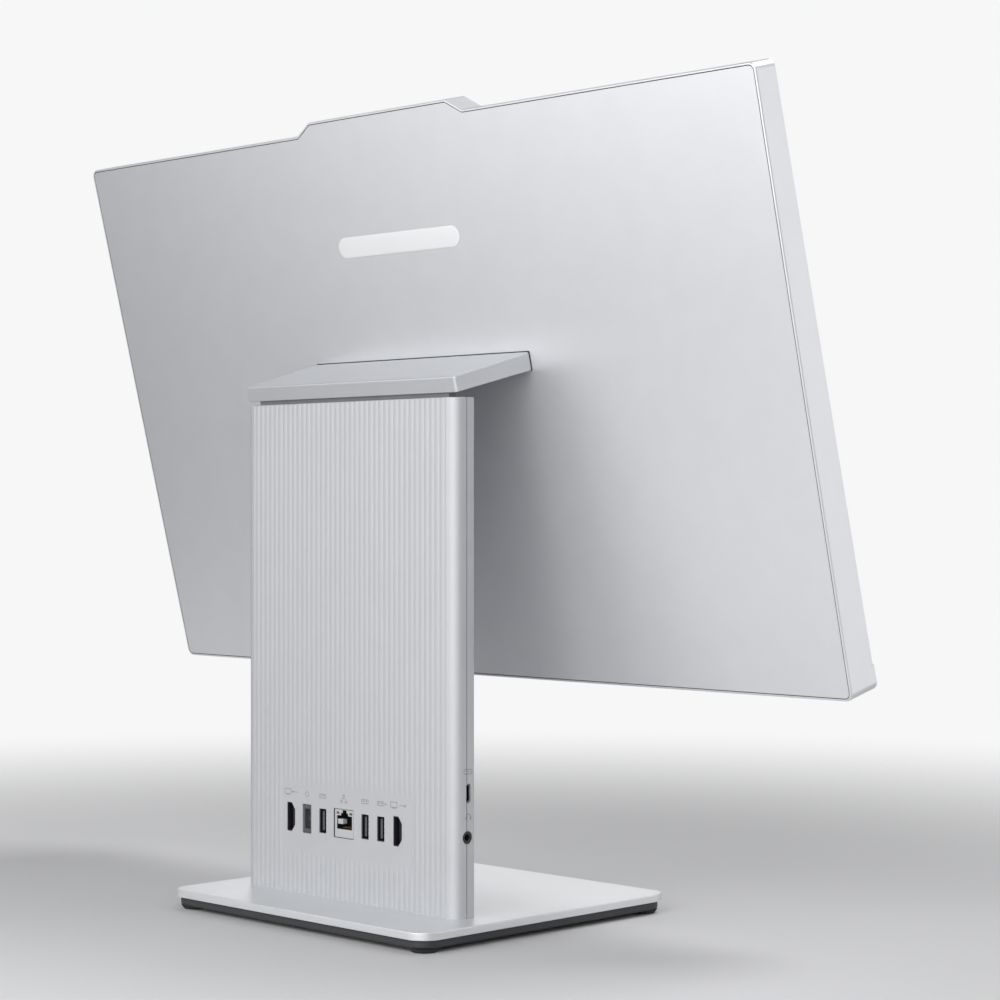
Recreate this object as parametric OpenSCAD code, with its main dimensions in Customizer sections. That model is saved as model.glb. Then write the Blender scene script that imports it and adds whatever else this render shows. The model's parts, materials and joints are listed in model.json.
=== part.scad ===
// All-in-one desktop computer: a thin tilting display head that holds the computer, on a slab stand
// with a ribbed back, rear ports and a flat rectangular foot.
// Millimetres. +X is the viewer's right when facing the screen, +Y points behind the machine, +Z is up.
// The origin is on the desk, under the middle of the foot.

/* [Display head] */
// Width of the display head
head_w = 541; // [520:1:560]
// Height of the display head's flat back, without the camera bump
head_h = 321.4; // [318:0.2:326]
// Thickness of the head at its top edge
head_top_t = 15.5; // [15.5:0.1:17]
// Thickness of the head at its bottom edge
head_bottom_t = 21.1; // [21:0.1:23]
// Lean of the head's back from upright at rest
head_lean = 14; // [12:0.5:16]
// Height of the head's bottom back edge above the desk
head_z = 130.9; // [128:0.1:133]
// Corner radius of the head's outline
head_r = 4.5; // [4:0.5:8]
// Width of the camera bump along its top
bump_w = 113.4; // [100:0.2:125]
// Width of the camera bump at its root
bump_root_w = 137; // [126:0.5:145]
// Height of the camera bump
bump_h = 6.9; // [6:0.1:8]
// Height of the front chin strip
chin_h = 13.5; // [12:0.5:16]

/* [Stand column] */
// Width of the column
col_w = 174.6; // [172:0.2:178]
// Depth of the column
col_d = 14.1; // [14:0.1:15]
// Height of the column's top above the desk
col_top = 287; // [286:0.2:289]
// Radius of the column's two rear corners
col_r = 6.5; // [5:0.5:7]
// Distance between ribs on the column's back
rib_pitch = 4.04; // [3.8:0.02:4.06]
// Number of ribs
rib_n = 41; // [35:2:41]
// Height of a rib above the valleys beside it
rib_h = 0.45; // [0.3:0.05:0.6]

/* [Foot] */
// Width of the foot
foot_w = 212.5; // [205:0.5:220]
// Depth of the foot
foot_d = 191; // [185:0.5:200]
// Corner radius of the foot
foot_r = 12.3; // [10:0.1:15]
// Thickness of the light top plate
plate_t = 4.2; // [3.5:0.1:5]
// Height of the dark skirt under the plate
skirt_h = 4.8; // [4.5:0.1:6]
// Height of the rubber feet under the skirt
pad_h = 2.4; // [2:0.1:3]

/* [Hinge] */
// Width of the neck cover at the head
neck_w = 175.5; // [172:0.5:178]
// Width of the neck cover at its rear edge
neck_rear_w = 173.2; // [170:0.2:176]
// Reach of the neck cover behind the head
neck_d = 57.4; // [56:0.2:58]
// Thickness of the neck cover
neck_t = 8.8; // [8.6:0.1:9.4]
// Radius of the hinge pins
pin_r = 2; // [1.8:0.1:2.2]

/* [Hidden] */
$fn = 48;
eps = 0.01;          // overshoot of a cutting tool past the face that it cuts

// Foot and column levels
plate_top = pad_h + skirt_h + plate_t;
skirt_inset = 2.2;
col_back = 54.3;
col_front = col_back - col_d;
col_mid = (col_front + col_back) / 2;
rear_wall = 1.6;     // column rear cover, from the valleys to its inside
front_wall = 1.2;
seam_y = 46;         // the line where the column's two covers meet on its sides
cover_back_in = col_back - rib_h - rear_wall;
cover_front_in = col_front + front_wall;
side_wall = 1.5;
frame_t = 1;         // column frame's sheet thickness
frame_w = col_w - 2 * side_wall - 0.6;
frame_back = cover_front_in + frame_t;

// I/O board and ports
board_y = frame_back + 0.5;      // the board's front face
board_t = 1;
board_back = board_y + board_t;  // the ports stand on this face
port_z = 53.8;                   // centre height of the rear ports
port_end = col_back - rib_h - 0.3;
field_w = 106;                   // smooth field round the rear ports
field_lo = 36.4;
field_hi = 69.9;
usbc_y = 44.85;
usbc_z = 77.4;
jack_y = 45.6;
jack_z = 54;
hdmi_x = [47, -41.9];
power_x = 33.3;
usb_x = [19.8, -15.5, -28.3];
lan_x = 2.1;

// Hinge
axis_y = (cover_front_in + cover_back_in) / 2;
axis_z = col_top - 5.4;
knuckle_r = 3.7;
barrel_in = 4.1;
barrel_out = 4.95;
run_gap = 0.05;                  // running clearance between pin and knuckle

// Head: its own frame has y = 0 on the flat back, -y towards the screen, z = 0 at the bottom edge
head_y = -45.8;
wedge = atan((head_bottom_t - head_top_t) / head_h);  // the screen's lean past the back's
back_t = 1.8;
rim = 1.2;                       // width of the side frame's rim round the rear cover
seam = 0.3;
side_t = 2;
lip_t = 0.9;                     // thin front lip of the side frame, round the black border
lip_y = 0.15;
ay = (axis_y - head_y) * cos(head_lean) - (axis_z - head_z) * sin(head_lean);
az = (axis_y - head_y) * sin(head_lean) + (axis_z - head_z) * cos(head_lean);
neck_top = 187.9;                // neck cover's top at the head
neck_top_rear = 186.4;           // and at its rear edge
neck_wall = 1.6;
slot_z0 = neck_top - neck_t + 2.4;  // the arm's slot through the rear cover
arm_t = 2.5;
harness_z = slot_z0 - 2;            // the head's ribbon cable passes under the arm's shelf

// Screen stack, measured behind the screen's front plane
glass_y = [0.6, 2.0];
module_y = [2.0, 6.0];
chassis_y = [6.2, 7.2];
pcb_y = [8.7, 9.8];
screen_w = 527;                  // active area of a 23.8 inch panel
screen_h = 296.5;
screen_z = 19.4;                 // bottom of the active area
fan_c = [-160, 86];              // blower's centre, x and z
fan_r = 37;
camera_z = head_h + 1.6;

// ---------- shared shapes ----------

// A rectangle with round corners, centred
module round_rect(w, h, r) {
    union() {
        square([w - 2 * r, h], center = true);
        square([w, h - 2 * r], center = true);
        for (x = [-1, 1], y = [-1, 1])
            translate([x * (w / 2 - r), y * (h / 2 - r)]) circle(r);
    }
}

// A flat plate with round corners, standing on z = 0
module plate(w, d, h, r) {
    linear_extrude(h) round_rect(w, d, r);
}

// Extrudes a shape drawn in X and Z along +Y, from y0 to y1
module extrude_y(y0, y1) {
    translate([0, y1, 0]) rotate([90, 0, 0]) linear_extrude(y1 - y0) children();
}

// A box given by its ranges along X, Y and Z
module block(x, y, z) {
    translate([x[0], y[0], z[0]]) cube([x[1] - x[0], y[1] - y[0], z[1] - z[0]]);
}

// A cylinder along X from x0 to x1
module rod_x(r, x0, x1) {
    translate([x0, 0, 0]) rotate([0, 90, 0]) cylinder(r = r, h = x1 - x0);
}

// A cylinder along Y from y0 to y1
module rod_y(r, y0, y1) {
    translate([0, y0, 0]) rotate([-90, 0, 0]) cylinder(r = r, h = y1 - y0);
}

// A pan-head screw along +Z with a cross recess in its head, the head's top on z = 0
module screw(r, length, head_r, head_h) {
    difference() {
        union() {
            translate([0, 0, -head_h]) cylinder(r = head_r, h = head_h);
            translate([0, 0, -length]) cylinder(r = r, h = length - head_h + eps);
        }
        for (a = [0, 90])
            rotate([0, 0, a])
                translate([-head_r * 0.6, -head_r * 0.13, -head_h * 0.5])
                    cube([head_r * 1.2, head_r * 0.26, head_h]);
    }
}

module in_head() {
    translate([0, head_y, head_z]) rotate([-head_lean, 0, 0]) children();
}

// Screen frame: y = 0 on the screen's front plane, +y into the head, z = 0 at the head's bottom edge
module in_screen() {
    in_head() translate([0, -head_bottom_t, 0]) rotate([-wedge, 0, 0]) children();
}

module at_axis() {
    translate([0, axis_y, axis_z]) children();
}

// ---------- foot ----------

foot_screw_x = [-60, -24, 24, 60];

module foot_plate() {
    color([0.80, 0.81, 0.83])
        difference() {
            translate([0, 0, pad_h + skirt_h]) plate(foot_w, foot_d, plate_t, foot_r);
            for (x = foot_screw_x)
                translate([x, col_mid, pad_h + skirt_h - eps]) cylinder(r = 2.2, h = plate_t + 2 * eps);
        }
}

skirt_w = foot_w - 2 * skirt_inset;
skirt_d = foot_d - 2 * skirt_inset;
skirt_r = foot_r - skirt_inset;
tray_floor = 1.2;

module foot_skirt() {
    step = 1.4;
    color([0.24, 0.25, 0.27])
        difference() {
            union() {
                translate([0, 0, pad_h]) plate(skirt_w - 2 * step, skirt_d - 2 * step, step, skirt_r - step);
                translate([0, 0, pad_h + step]) plate(skirt_w, skirt_d, skirt_h - step, skirt_r);
            }
            translate([0, 0, pad_h + tray_floor])
                plate(skirt_w - 5, skirt_d - 5, skirt_h, skirt_r - 2.5);
            for (x = foot_screw_x)
                translate([x, col_mid, pad_h - eps]) cylinder(r = 5, h = tray_floor + 2 * eps);
        }
}

module foot_ballast() {
    color([0.45, 0.46, 0.48])
        difference() {
            translate([0, 0, pad_h + tray_floor])
                plate(skirt_w - 6, skirt_d - 6, skirt_h - tray_floor, skirt_r - 3);
            for (x = foot_screw_x)
                translate([x, col_mid, pad_h]) cylinder(r = 4.6, h = skirt_h + plate_t);
        }
}

module foot_pads() {
    inset = 11;
    color([0.14, 0.14, 0.15])
        for (x = [-1, 1], y = [-1, 1])
            translate([x * (foot_w / 2 - inset), y * (foot_d / 2 - inset), 0])
                cylinder(r1 = 6.8, r2 = 8.2, h = pad_h);
}

module foot_screws() {
    head_h = 2.2;
    color([0.62, 0.63, 0.65])
        for (x = foot_screw_x)
            translate([x, col_mid, pad_h + skirt_h - head_h])
                mirror([0, 0, 1]) screw(1.9, head_h + plate_t + 3, 3.6, head_h);
}

// ---------- column ----------

// Outer plan of the column: round rear corners and small front ones
module column_plan() {
    front_r = 1.2;
    union() {
        translate([-col_w / 2, col_front + front_r])
            square([col_w, col_d - front_r - col_r]);
        translate([-col_w / 2 + front_r, col_front]) square([col_w - 2 * front_r, col_d / 2]);
        translate([-col_w / 2 + col_r, col_back - 2 * col_r])
            square([col_w - 2 * col_r, 2 * col_r - rib_h]);
        for (s = [-1, 1]) {
            translate([s * (col_w / 2 - col_r), col_back - col_r]) circle(col_r);
            translate([s * (col_w / 2 - front_r), col_front + front_r]) circle(front_r);
        }
    }
}

// Round-topped ribs side by side on the flat of the back
module rib_plan() {
    r = rib_pitch * rib_pitch / (8 * rib_h) + rib_h / 2;
    intersection() {
        for (i = [0 : rib_n - 1])
            translate([(i - (rib_n - 1) / 2) * rib_pitch, col_back - r]) circle(r);
        translate([-rib_n * rib_pitch / 2, col_back - rib_h - 0.2])
            square([rib_n * rib_pitch, rib_h + 1]);
    }
}

// The plan with a smooth valley-level back between the round corners
module column_outer() {
    difference() {
        column_plan();
        translate([-rib_n * rib_pitch / 2, col_back - rib_h]) square([rib_n * rib_pitch, 1]);
    }
    rib_plan();
}

module column_inner() {
    r = col_r - side_wall;
    x = col_w / 2 - side_wall;
    union() {
        translate([-x, cover_front_in]) square([2 * x, cover_back_in - cover_front_in - r]);
        translate([-x + r, cover_front_in]) square([2 * x - 2 * r, cover_back_in - cover_front_in]);
        for (s = [-1, 1]) translate([s * (x - r), cover_back_in - r]) circle(r);
    }
}

// Sizes of the openings that the rear ports look through
hdmi_cut = [6, 15.4];
usb_cut = [6, 13.6];
lan_cut = [16.3, 15.8];
power_cut = [7.5, 16.3];
usbc_cut = [3.5, 10.2];
jack_r = 3.4;
usbc_end = -79;                  // inner end of the side socket, in the board's notch

// D-shaped outline of an HDMI socket standing on its end, with its narrow side towards -X
module hdmi_plan(w, h) {
    chamfer = w * 0.42;
    polygon([
        [w / 2, -h / 2], [w / 2, h / 2], [-w / 2 + chamfer, h / 2], [-w / 2, h / 2 - chamfer * 1.5],
        [-w / 2, -h / 2 + chamfer * 1.5], [-w / 2 + chamfer, -h / 2]
    ]);
}

module rear_port_cuts(grow) {
    for (x = hdmi_x) translate([x, port_z]) hdmi_plan(hdmi_cut[0] + grow, hdmi_cut[1] + grow);
    translate([power_x, port_z]) round_rect(power_cut[0] + grow, power_cut[1] + grow, 0.6);
    for (x = usb_x) translate([x, port_z]) round_rect(usb_cut[0] + grow, usb_cut[1] + grow, 0.4);
    translate([lan_x, port_z]) round_rect(lan_cut[0] + grow, lan_cut[1] + grow, 0.3);
}

module side_port_cuts(grow) {
    translate([-col_w / 2, usbc_y, usbc_z]) rotate([90, 0, -90])
        translate([0, 0, -3]) linear_extrude(6)
            round_rect(usbc_cut[0] + grow, usbc_cut[1] + grow, (usbc_cut[0] + grow) / 2 - eps);
    translate([0, jack_y, jack_z]) rod_x(jack_r + grow / 2, -col_w / 2 - 3, -col_w / 2 + 3);
}

module column_rear_cover() {
    color([0.78, 0.79, 0.81])
        difference() {
            translate([0, 0, plate_top]) linear_extrude(col_top - plate_top)
                difference() {
                    column_outer();
                    column_inner();
                    translate([-col_w, col_front - 1]) square([2 * col_w, seam_y + seam / 2 - col_front + 1]);
                }
            extrude_y(col_back - rib_h, col_back + 1)
                translate([0, (field_lo + field_hi) / 2]) round_rect(field_w, field_hi - field_lo, 3);
            extrude_y(cover_back_in - 1, col_back + 1) rear_port_cuts(0.2);
            side_port_cuts(0.2);
        }
}

module column_front_cover() {
    color([0.76, 0.77, 0.79])
        difference() {
            translate([0, 0, plate_top]) linear_extrude(col_top - plate_top)
                difference() {
                    column_plan();
                    column_inner();
                    translate([-col_w, seam_y - seam / 2]) square([2 * col_w, col_d]);
                }
            for (x = cover_screw_x, z = cover_screw_z)
                translate([x, 0, z]) rod_y(1, cover_front_in - 0.8, cover_front_in + 1);
            side_port_cuts(0.2);
        }
}

cover_screw_x = [-79, 79];
cover_screw_z = [22, 150, 262];
board_screw_x = [-55, 55];
board_screw_z = [35, 79];

// A sheet-steel channel, with a flange on each side and a foot that is screwed to the foot plate
module column_frame() {
    flange = 7.2;
    foot_t = 2;
    top = axis_z - 12;
    color([0.66, 0.67, 0.69])
        difference() {
            union() {
                block([-frame_w / 2, frame_w / 2], [cover_front_in, frame_back], [plate_top, top]);
                for (s = [-1, 1])
                    translate([s * (frame_w - frame_t) / 2, 0, 0])
                        block([-frame_t / 2, frame_t / 2], [cover_front_in, cover_front_in + flange],
                              [plate_top, top]);
                block([-70, 70], [cover_front_in, cover_back_in - 1], [plate_top, plate_top + foot_t]);
            }
            for (x = foot_screw_x)
                translate([x, col_mid, plate_top - 1]) cylinder(r = 1.9, h = foot_t + 2);
            block([-frame_w, -frame_w / 2 + 6], [col_front, col_back], [jack_z - 8, usbc_z + 9]);
            for (z = [120, 160, 200])
                extrude_y(col_front, col_back) translate([0, z]) round_rect(70, 22, 8);
            for (x = cover_screw_x, z = cover_screw_z)
                translate([x, 0, z]) rod_y(1.1, col_front, col_back);
            for (x = board_screw_x, z = board_screw_z)
                translate([x, 0, z]) rod_y(1, col_front, col_back);
        }
}

// The same small machine screw holds the frame to the front cover and the I/O board to the frame
module column_screws() {
    length = 2.8;
    head_h = 1;
    color([0.55, 0.56, 0.58]) {
        for (x = cover_screw_x, z = cover_screw_z)
            translate([x, frame_back + head_h, z]) rotate([-90, 0, 0]) screw(1, length, 2.2, head_h);
        for (x = board_screw_x, z = board_screw_z)
            translate([x, board_back + head_h, z]) rotate([-90, 0, 0]) screw(1, length, 2.2, head_h);
    }
}

// ---------- ports ----------

module io_board() {
    color([0.09, 0.22, 0.16])
        difference() {
            union() {
                block([-60, 60], [board_y, board_back], [30, 84]);
                block([-84, -59], [board_y, board_back], [46, 84]);
            }
            block([-90, -70], [board_y - 1, board_back + 1], [jack_z - 4.2, jack_z + 4.2]);
            block([-90, usbc_end], [board_y - 1, board_back + 1], [usbc_z - 5.2, usbc_z + 5.2]);
            for (x = board_screw_x, z = board_screw_z)
                translate([x, 0, z]) rod_y(1.1, board_y - 1, board_back + 1);
        }
}

shell_t = 0.3;

// A solid with the outline of its child, standing on the board's back face over the port's place
module socket(x, depth) {
    translate([x, 0, port_z]) extrude_y(board_back, depth) children();
}

module hdmi_port(x) {
    w = hdmi_cut[0] - 0.2;
    h = hdmi_cut[1] - 0.2;
    color([0.10, 0.10, 0.11])
        union() {
            difference() {
                socket(x, port_end) hdmi_plan(w, h);
                translate([0, 1, 0]) socket(x, port_end) hdmi_plan(w - 2 * shell_t, h - 2 * shell_t);
            }
            block([x - 0.4, x + 0.4], [board_back + 0.5, port_end - 1.2], [port_z - 5.6, port_z + 5.6]);
        }
}

module usb_port(x) {
    w = usb_cut[0] - 0.2;
    h = usb_cut[1] - 0.2;
    color([0.12, 0.12, 0.13])
        union() {
            difference() {
                socket(x, port_end) round_rect(w, h, 0.4);
                translate([0, 1, 0]) socket(x, port_end) round_rect(w - 2 * shell_t, h - 2 * shell_t, 0.2);
            }
            block([x - 0.3, x + 1.5], [board_back + 0.5, port_end - 0.8], [port_z - 5.5, port_z + 5.5]);
        }
}

// Mouth of the network socket: a stepped hole for the plug and its latch, seen from behind
module lan_mouth() {
    bottom = -3.2;
    steps = [[12.6, 4.4], [6, 5.8], [3.4, 7.4]];  // width and top of each step
    for (s = steps) translate([-s[0] / 2, bottom]) square([s[0], s[1] - bottom]);
}

module ethernet_port() {
    w = lan_cut[0] - 0.2;
    h = lan_cut[1] - 0.2;
    tab_w = 4.4;
    color([0.74, 0.75, 0.77])
        translate([lan_x, 0, port_z])
            difference() {
                extrude_y(board_back, port_end) round_rect(w, h, 0.3);
                difference() {
                    extrude_y(board_back + 1, port_end + 1) lan_mouth();
                    block([6.3 - tab_w, 7], [port_end - 3.5, port_end - 0.6], [-0.4, 2.3]);
                }
            }
}

power_hole = [4.7, 11.2];

module power_inlet() {
    w = power_cut[0] - 0.2;
    h = power_cut[1] - 0.2;
    color([0.30, 0.31, 0.33])
        union() {
            difference() {
                socket(power_x, port_end) round_rect(w, h, 0.6);
                translate([0, 1.2, 0]) socket(power_x, port_end)
                    round_rect(power_hole[0], power_hole[1], 0.5);
            }
            translate([power_x, 0, port_z]) rod_y(0.55, board_back + 0.5, port_end - 1.5);
        }
}

module usb_c_port() {
    w = usbc_cut[0] - 0.2;
    h = usbc_cut[1] - 0.6;
    x0 = -col_w / 2 + 1;
    depth = usbc_end - x0;
    color([0.55, 0.56, 0.58])
        translate([x0, usbc_y, usbc_z]) rotate([90, 0, 90])
            union() {
                difference() {
                    linear_extrude(depth) round_rect(w, h, w / 2 - eps);
                    translate([0, 0, -1]) linear_extrude(depth)
                        round_rect(w - 2 * shell_t, h - 2 * shell_t, w / 2 - shell_t - eps);
                }
                translate([-0.35, -3.3, 1]) cube([0.7, 6.6, depth - 1.5]);
            }
}

jack_bore_r = 1.8;
jack_bore_l = 13;

module audio_jack() {
    x0 = -col_w / 2;
    color([0.11, 0.11, 0.12])
        difference() {
            union() {
                translate([0, jack_y, jack_z]) rod_x(jack_r - 0.1, x0 + 0.4, x0 + 3);
                block([x0 + 2.9, x0 + 14.8], [frame_back + 0.1, jack_y + 3], [jack_z - 3.6, jack_z + 3.6]);
            }
            translate([0, jack_y, jack_z]) rod_x(jack_bore_r, x0 - 1, x0 + 0.4 + jack_bore_l);
        }
}

// Flat ribbon from the board's top edge to the middle of the hinge
module column_harness() {
    strip_y = [board_back + 0.6, board_back + 1.1];
    color([0.16, 0.16, 0.17])
        union() {
            block([-16, 16], [board_back, board_back + 2.4], [76, 82]);
            block([-14, 14], strip_y, [82 - eps, axis_z - 6]);
            block([-14, 14], [strip_y[0], axis_y + 0.25], [axis_z - 6.5, axis_z - 6]);
            block([-14, 14], [axis_y - 0.25, axis_y + 0.25], [axis_z - 6.5, axis_z - 0.6]);
        }
}

// ---------- hinge ----------

ear_x = [50, 53];
knuckle_x = [53.4, 65];
washer_x = 65.3;
washer_t = 0.7;
washer_n = 4;
nut_x = washer_x + washer_n * (washer_t + 0.1) + 0.1;

// Fixed half of one hinge: a bored knuckle on a plate that is screwed to the column frame
module hinge_knuckle(s) {
    plate_y = [frame_back, frame_back + 2];
    color([0.60, 0.61, 0.63])
        difference() {
            union() {
                at_axis() translate([s * (knuckle_x[0] + knuckle_x[1]) / 2, 0, 0])
                    rod_x(knuckle_r, -(knuckle_x[1] - knuckle_x[0]) / 2, (knuckle_x[1] - knuckle_x[0]) / 2);
                translate([s * (knuckle_x[0] + knuckle_x[1]) / 2, 0, 0])
                    block([-5.8, 5.8], [axis_y - 2.6, axis_y + 0.6], [axis_z - 14, axis_z - 1]);
                translate([s * (knuckle_x[0] + knuckle_x[1]) / 2, 0, 0])
                    block([-9, 9], plate_y, [axis_z - 42, axis_z - 12.2]);
                translate([s * (knuckle_x[0] + knuckle_x[1]) / 2, 0, 0])
                    block([-5.8, 5.8], [plate_y[0], axis_y + 0.6], [axis_z - 18, axis_z - 12.2]);
            }
            at_axis() rod_x(pin_r + run_gap, -80, 80);
            for (z = [-37, -24])
                translate([s * (knuckle_x[0] + knuckle_x[1]) / 2, 0, axis_z + z])
                    rod_y(1.6, plate_y[0] - 1, plate_y[1] + 1);
        }
}

module hinge_screws() {
    color([0.7, 0.7, 0.72])
        for (s = [-1, 1], z = [-37, -24])
            translate([s * (knuckle_x[0] + knuckle_x[1]) / 2, frame_back + 3.6, axis_z + z])
                rotate([-90, 0, 0]) screw(1.4, 3.6, 2.7, 1.6);
}

// The pin turns with the arm: a flanged head inside the ear, and a shank through the knuckle
module hinge_pin(s) {
    mirror([s < 0 ? 1 : 0, 0, 0])
        color([0.70, 0.71, 0.73])
            at_axis()
                union() {
                    rod_x(3.3, ear_x[0] - 1.6, ear_x[0]);
                    rod_x(pin_r, ear_x[0] - eps, nut_x + 3.2);
                }
}

module hinge_washers() {
    color([0.58, 0.58, 0.60])
        for (s = [0, 1]) mirror([s, 0, 0])
            for (i = [0 : washer_n - 1])
                at_axis() difference() {
                    rod_x(3.5, washer_x + i * (washer_t + 0.1), washer_x + i * (washer_t + 0.1) + washer_t);
                    rod_x(pin_r, washer_x - 1, nut_x);
                }
}

module hinge_nuts() {
    color([0.72, 0.72, 0.74])
        for (s = [0, 1]) mirror([s, 0, 0])
            at_axis() difference() {
                translate([nut_x, 0, 0]) rotate([0, 90, 0]) cylinder(r = 3.7, h = 2.4, $fn = 6);
                rod_x(pin_r, nut_x - 1, nut_x + 4);
            }
}

flange_x = 72;
flange_z = [150, 216];

// Moving steel arm: two ears on the pins, a shelf inside the neck cover and a flange on the head's chassis
module hinge_arm() {
    color([0.52, 0.53, 0.55])
        in_head() difference() {
            union() {
                for (s = [0, 1]) mirror([s, 0, 0]) {
                    translate([0, ay, az]) rod_x(knuckle_r, ear_x[0], ear_x[1]);
                    block([ear_x[0], ear_x[1]], [ay - 1.6, ay + 1.6], [az, slot_z0 + arm_t]);
                    block([ear_x[0], ear_x[1]], [ay - 16, ay + 1.6], [az + 10.2, slot_z0 + arm_t]);
                }
                block([-66, 66], [-9.5, ay + 1], [slot_z0, slot_z0 + arm_t]);
                intersection() {
                    block([-flange_x, flange_x], [-14, -4], flange_z);
                    flange_slab();
                }
            }
            translate([0, ay, az]) rod_x(pin_r + 0.02, -80, 80);
            block([-18, 18], [6, ay - 8], [slot_z0 - 1, slot_z0 + arm_t + 1]);
            for (s = [-1, 1], z = [158, 208])
                translate([s * 62, 0, z]) rod_y(1.8, -20, 0);
        }
}

// The 2 mm sheet lying on the back of the tilted chassis, in the head's frame
module flange_slab() {
    translate([0, -head_bottom_t, 0]) rotate([-wedge, 0, 0])
        block([-flange_x - 5, flange_x + 5], [chassis_y[1], chassis_y[1] + 2], [100, 260]);
}

module arm_screws() {
    color([0.7, 0.7, 0.72])
        in_screen()
            for (s = [-1, 1], z = [158, 208])
                translate([s * 62, chassis_y[1] + 3.6, z]) rotate([-90, 0, 0]) screw(1.6, 3.6, 3, 1.6);
}

// Plan of the neck cover, drawn in X and Y of the head's frame
module neck_plan(inset) {
    corner = 3;
    w0 = neck_w / 2 - inset;
    w1 = neck_rear_w / 2 - inset;
    polygon([
        [-w0, 0.1], [w0, 0.1], [w1, neck_d - corner - inset * 0.5],
        [w1 - corner, neck_d - inset], [-w1 + corner, neck_d - inset], [-w1, neck_d - corner - inset * 0.5]
    ]);
}

// Everything under the neck cover's sloping top, in the head's frame
module under_neck_top(drop) {
    rise = neck_top - neck_top_rear;
    extent = 120;
    translate([-extent, 0, neck_top - drop]) rotate([-atan(rise / neck_d), 0, 0])
        translate([0, -20, -extent]) cube([2 * extent, extent, extent]);
}

module neck_cover() {
    bottom = neck_top_rear - neck_t;
    color([0.72, 0.73, 0.75])
        in_head() difference() {
            intersection() {
                translate([0, 0, bottom]) linear_extrude(neck_t + 4) neck_plan(0);
                under_neck_top(0);
            }
            intersection() {
                translate([0, 0, bottom - 1]) linear_extrude(neck_t + 4) neck_plan(neck_wall);
                under_neck_top(neck_wall);
            }
            translate([0, 0, bottom - 1]) linear_extrude(neck_wall + 1.2) neck_plan(0.8);
        }
}

// Underside of the neck with the half-round barrel that closes the top of the column
module neck_underside() {
    bottom = neck_top_rear - neck_t;
    sheet = 1.4;
    pocket = [ear_x[0] - 3, nut_x + 4.5];
    web_y = [ay - 2.8, ay + 2.2];
    length = 157;
    color([0.42, 0.43, 0.45])
        in_head() difference() {
            union() {
                translate([0, 0, bottom]) linear_extrude(sheet) neck_plan(1);
                difference() {
                    translate([0, ay, az]) rod_x(barrel_out, -length / 2, length / 2);
                    block([-100, 100], [ay - 8, ay + 8], [az - 8, az - 1.2]);
                }
                block([-length / 2, length / 2], web_y, [az, bottom + eps]);
            }
            translate([0, ay, az]) rod_x(barrel_in, -length / 2 + 3, length / 2 - 3);
            for (s = [0, 1]) mirror([s, 0, 0])
                block(pocket, [web_y[0] + 0.9, web_y[1] - 0.5], [az, bottom + sheet + 1]);
            block([-20, 20], [web_y[0] + 0.9, web_y[1] - 0.5], [az, bottom + sheet + 1]);
            for (s = [0, 1]) mirror([s, 0, 0])
                block([ear_x[0] - 0.3, ear_x[1] + 0.3], [ay - 17, web_y[1] - 0.5],
                    [az + 8, bottom + sheet + 1]);
        }
}

// The head's ribbon cable: from the hinge's middle, through the neck and down to the mainboard
module head_harness() {
    drop_y = -6;
    t = 0.5;
    color([0.16, 0.16, 0.17])
        in_head() union() {
            block([-14, 14], [ay - t / 2, ay + t / 2], [az + 0.5, harness_z + t]);
            block([-14, 14], [drop_y, ay + t / 2], [harness_z, harness_z + t]);
            block([-14, 14], [drop_y, drop_y + t], [141, harness_z + t]);
            block([-15, 15], [-8.8, drop_y + t], [134, 141 + eps]);
        }
}

// ---------- display head: shells ----------

// Outline of the head with its bump, shrunk evenly by inset
module head_outline(inset) {
    r = max(head_r - inset, 0.6);
    x = head_w / 2 - inset;
    top = head_h - inset;
    slope = (bump_root_w - bump_w) / 2;
    shift = inset * (sqrt(slope * slope + bump_h * bump_h) - slope) / bump_h;
    root = bump_root_w / 2 - shift;
    crest = bump_w / 2 - shift;
    union() {
        polygon([
            [x - r, inset], [x - r, inset + r], [x, inset + r], [x, top - r], [x - r, top - r],
            [x - r, top], [root, top], [crest, top + bump_h], [-crest, top + bump_h], [-root, top],
            [r - x, top], [r - x, top - r], [-x, top - r], [-x, inset + r], [r - x, inset + r],
            [r - x, inset]
        ]);
        for (s = [-1, 1], z = [inset + r, top - r]) translate([s * (x - r), z]) circle(r);
    }
}

// Everything behind the plane that lies depth behind the screen's front, in the head's frame
module behind_screen(depth) {
    translate([0, -head_bottom_t, 0]) rotate([-wedge, 0, 0])
        block([-300, 300], [depth, 60], [-20, 360]);
}

bezel_t = 1.6;

// Polished badge, in a shallow pocket of the rear cover
badge_w = 100;
badge_h = 12;
badge_z = 254.5;
pocket_t = 0.35;

// The badge's pill-shaped outline, grown by a clearance on every side
module badge_outline(grow = 0) {
    translate([0, badge_z])
        round_rect(badge_w + 2 * grow, badge_h + 2 * grow, badge_h / 2 + grow - eps);
}

module rear_cover() {
    color([0.80, 0.81, 0.83])
        in_head() difference() {
            union() {
                extrude_y(-back_t, 0) head_outline(rim + seam);
                for (x = [-250, -90, 90, 250], z = [40, 160, 280])
                    translate([x, 0, z]) rod_y(2.2, -back_t - 2.5, -back_t + eps);
            }
            block([-67, 67], [-5, 1], [slot_z0 - 0.3, slot_z0 + arm_t + 0.3]);
            block([-15, 15], [-5, 1], [harness_z - 0.4, slot_z0]);
            extrude_y(-pocket_t, 1) badge_outline(0.2);
        }
}

module nameplate() {
    color([0.90, 0.91, 0.92])
        in_head() extrude_y(-pocket_t, 0.25) badge_outline();
}

vent_pitch = 5;
speaker_x = 236;

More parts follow.
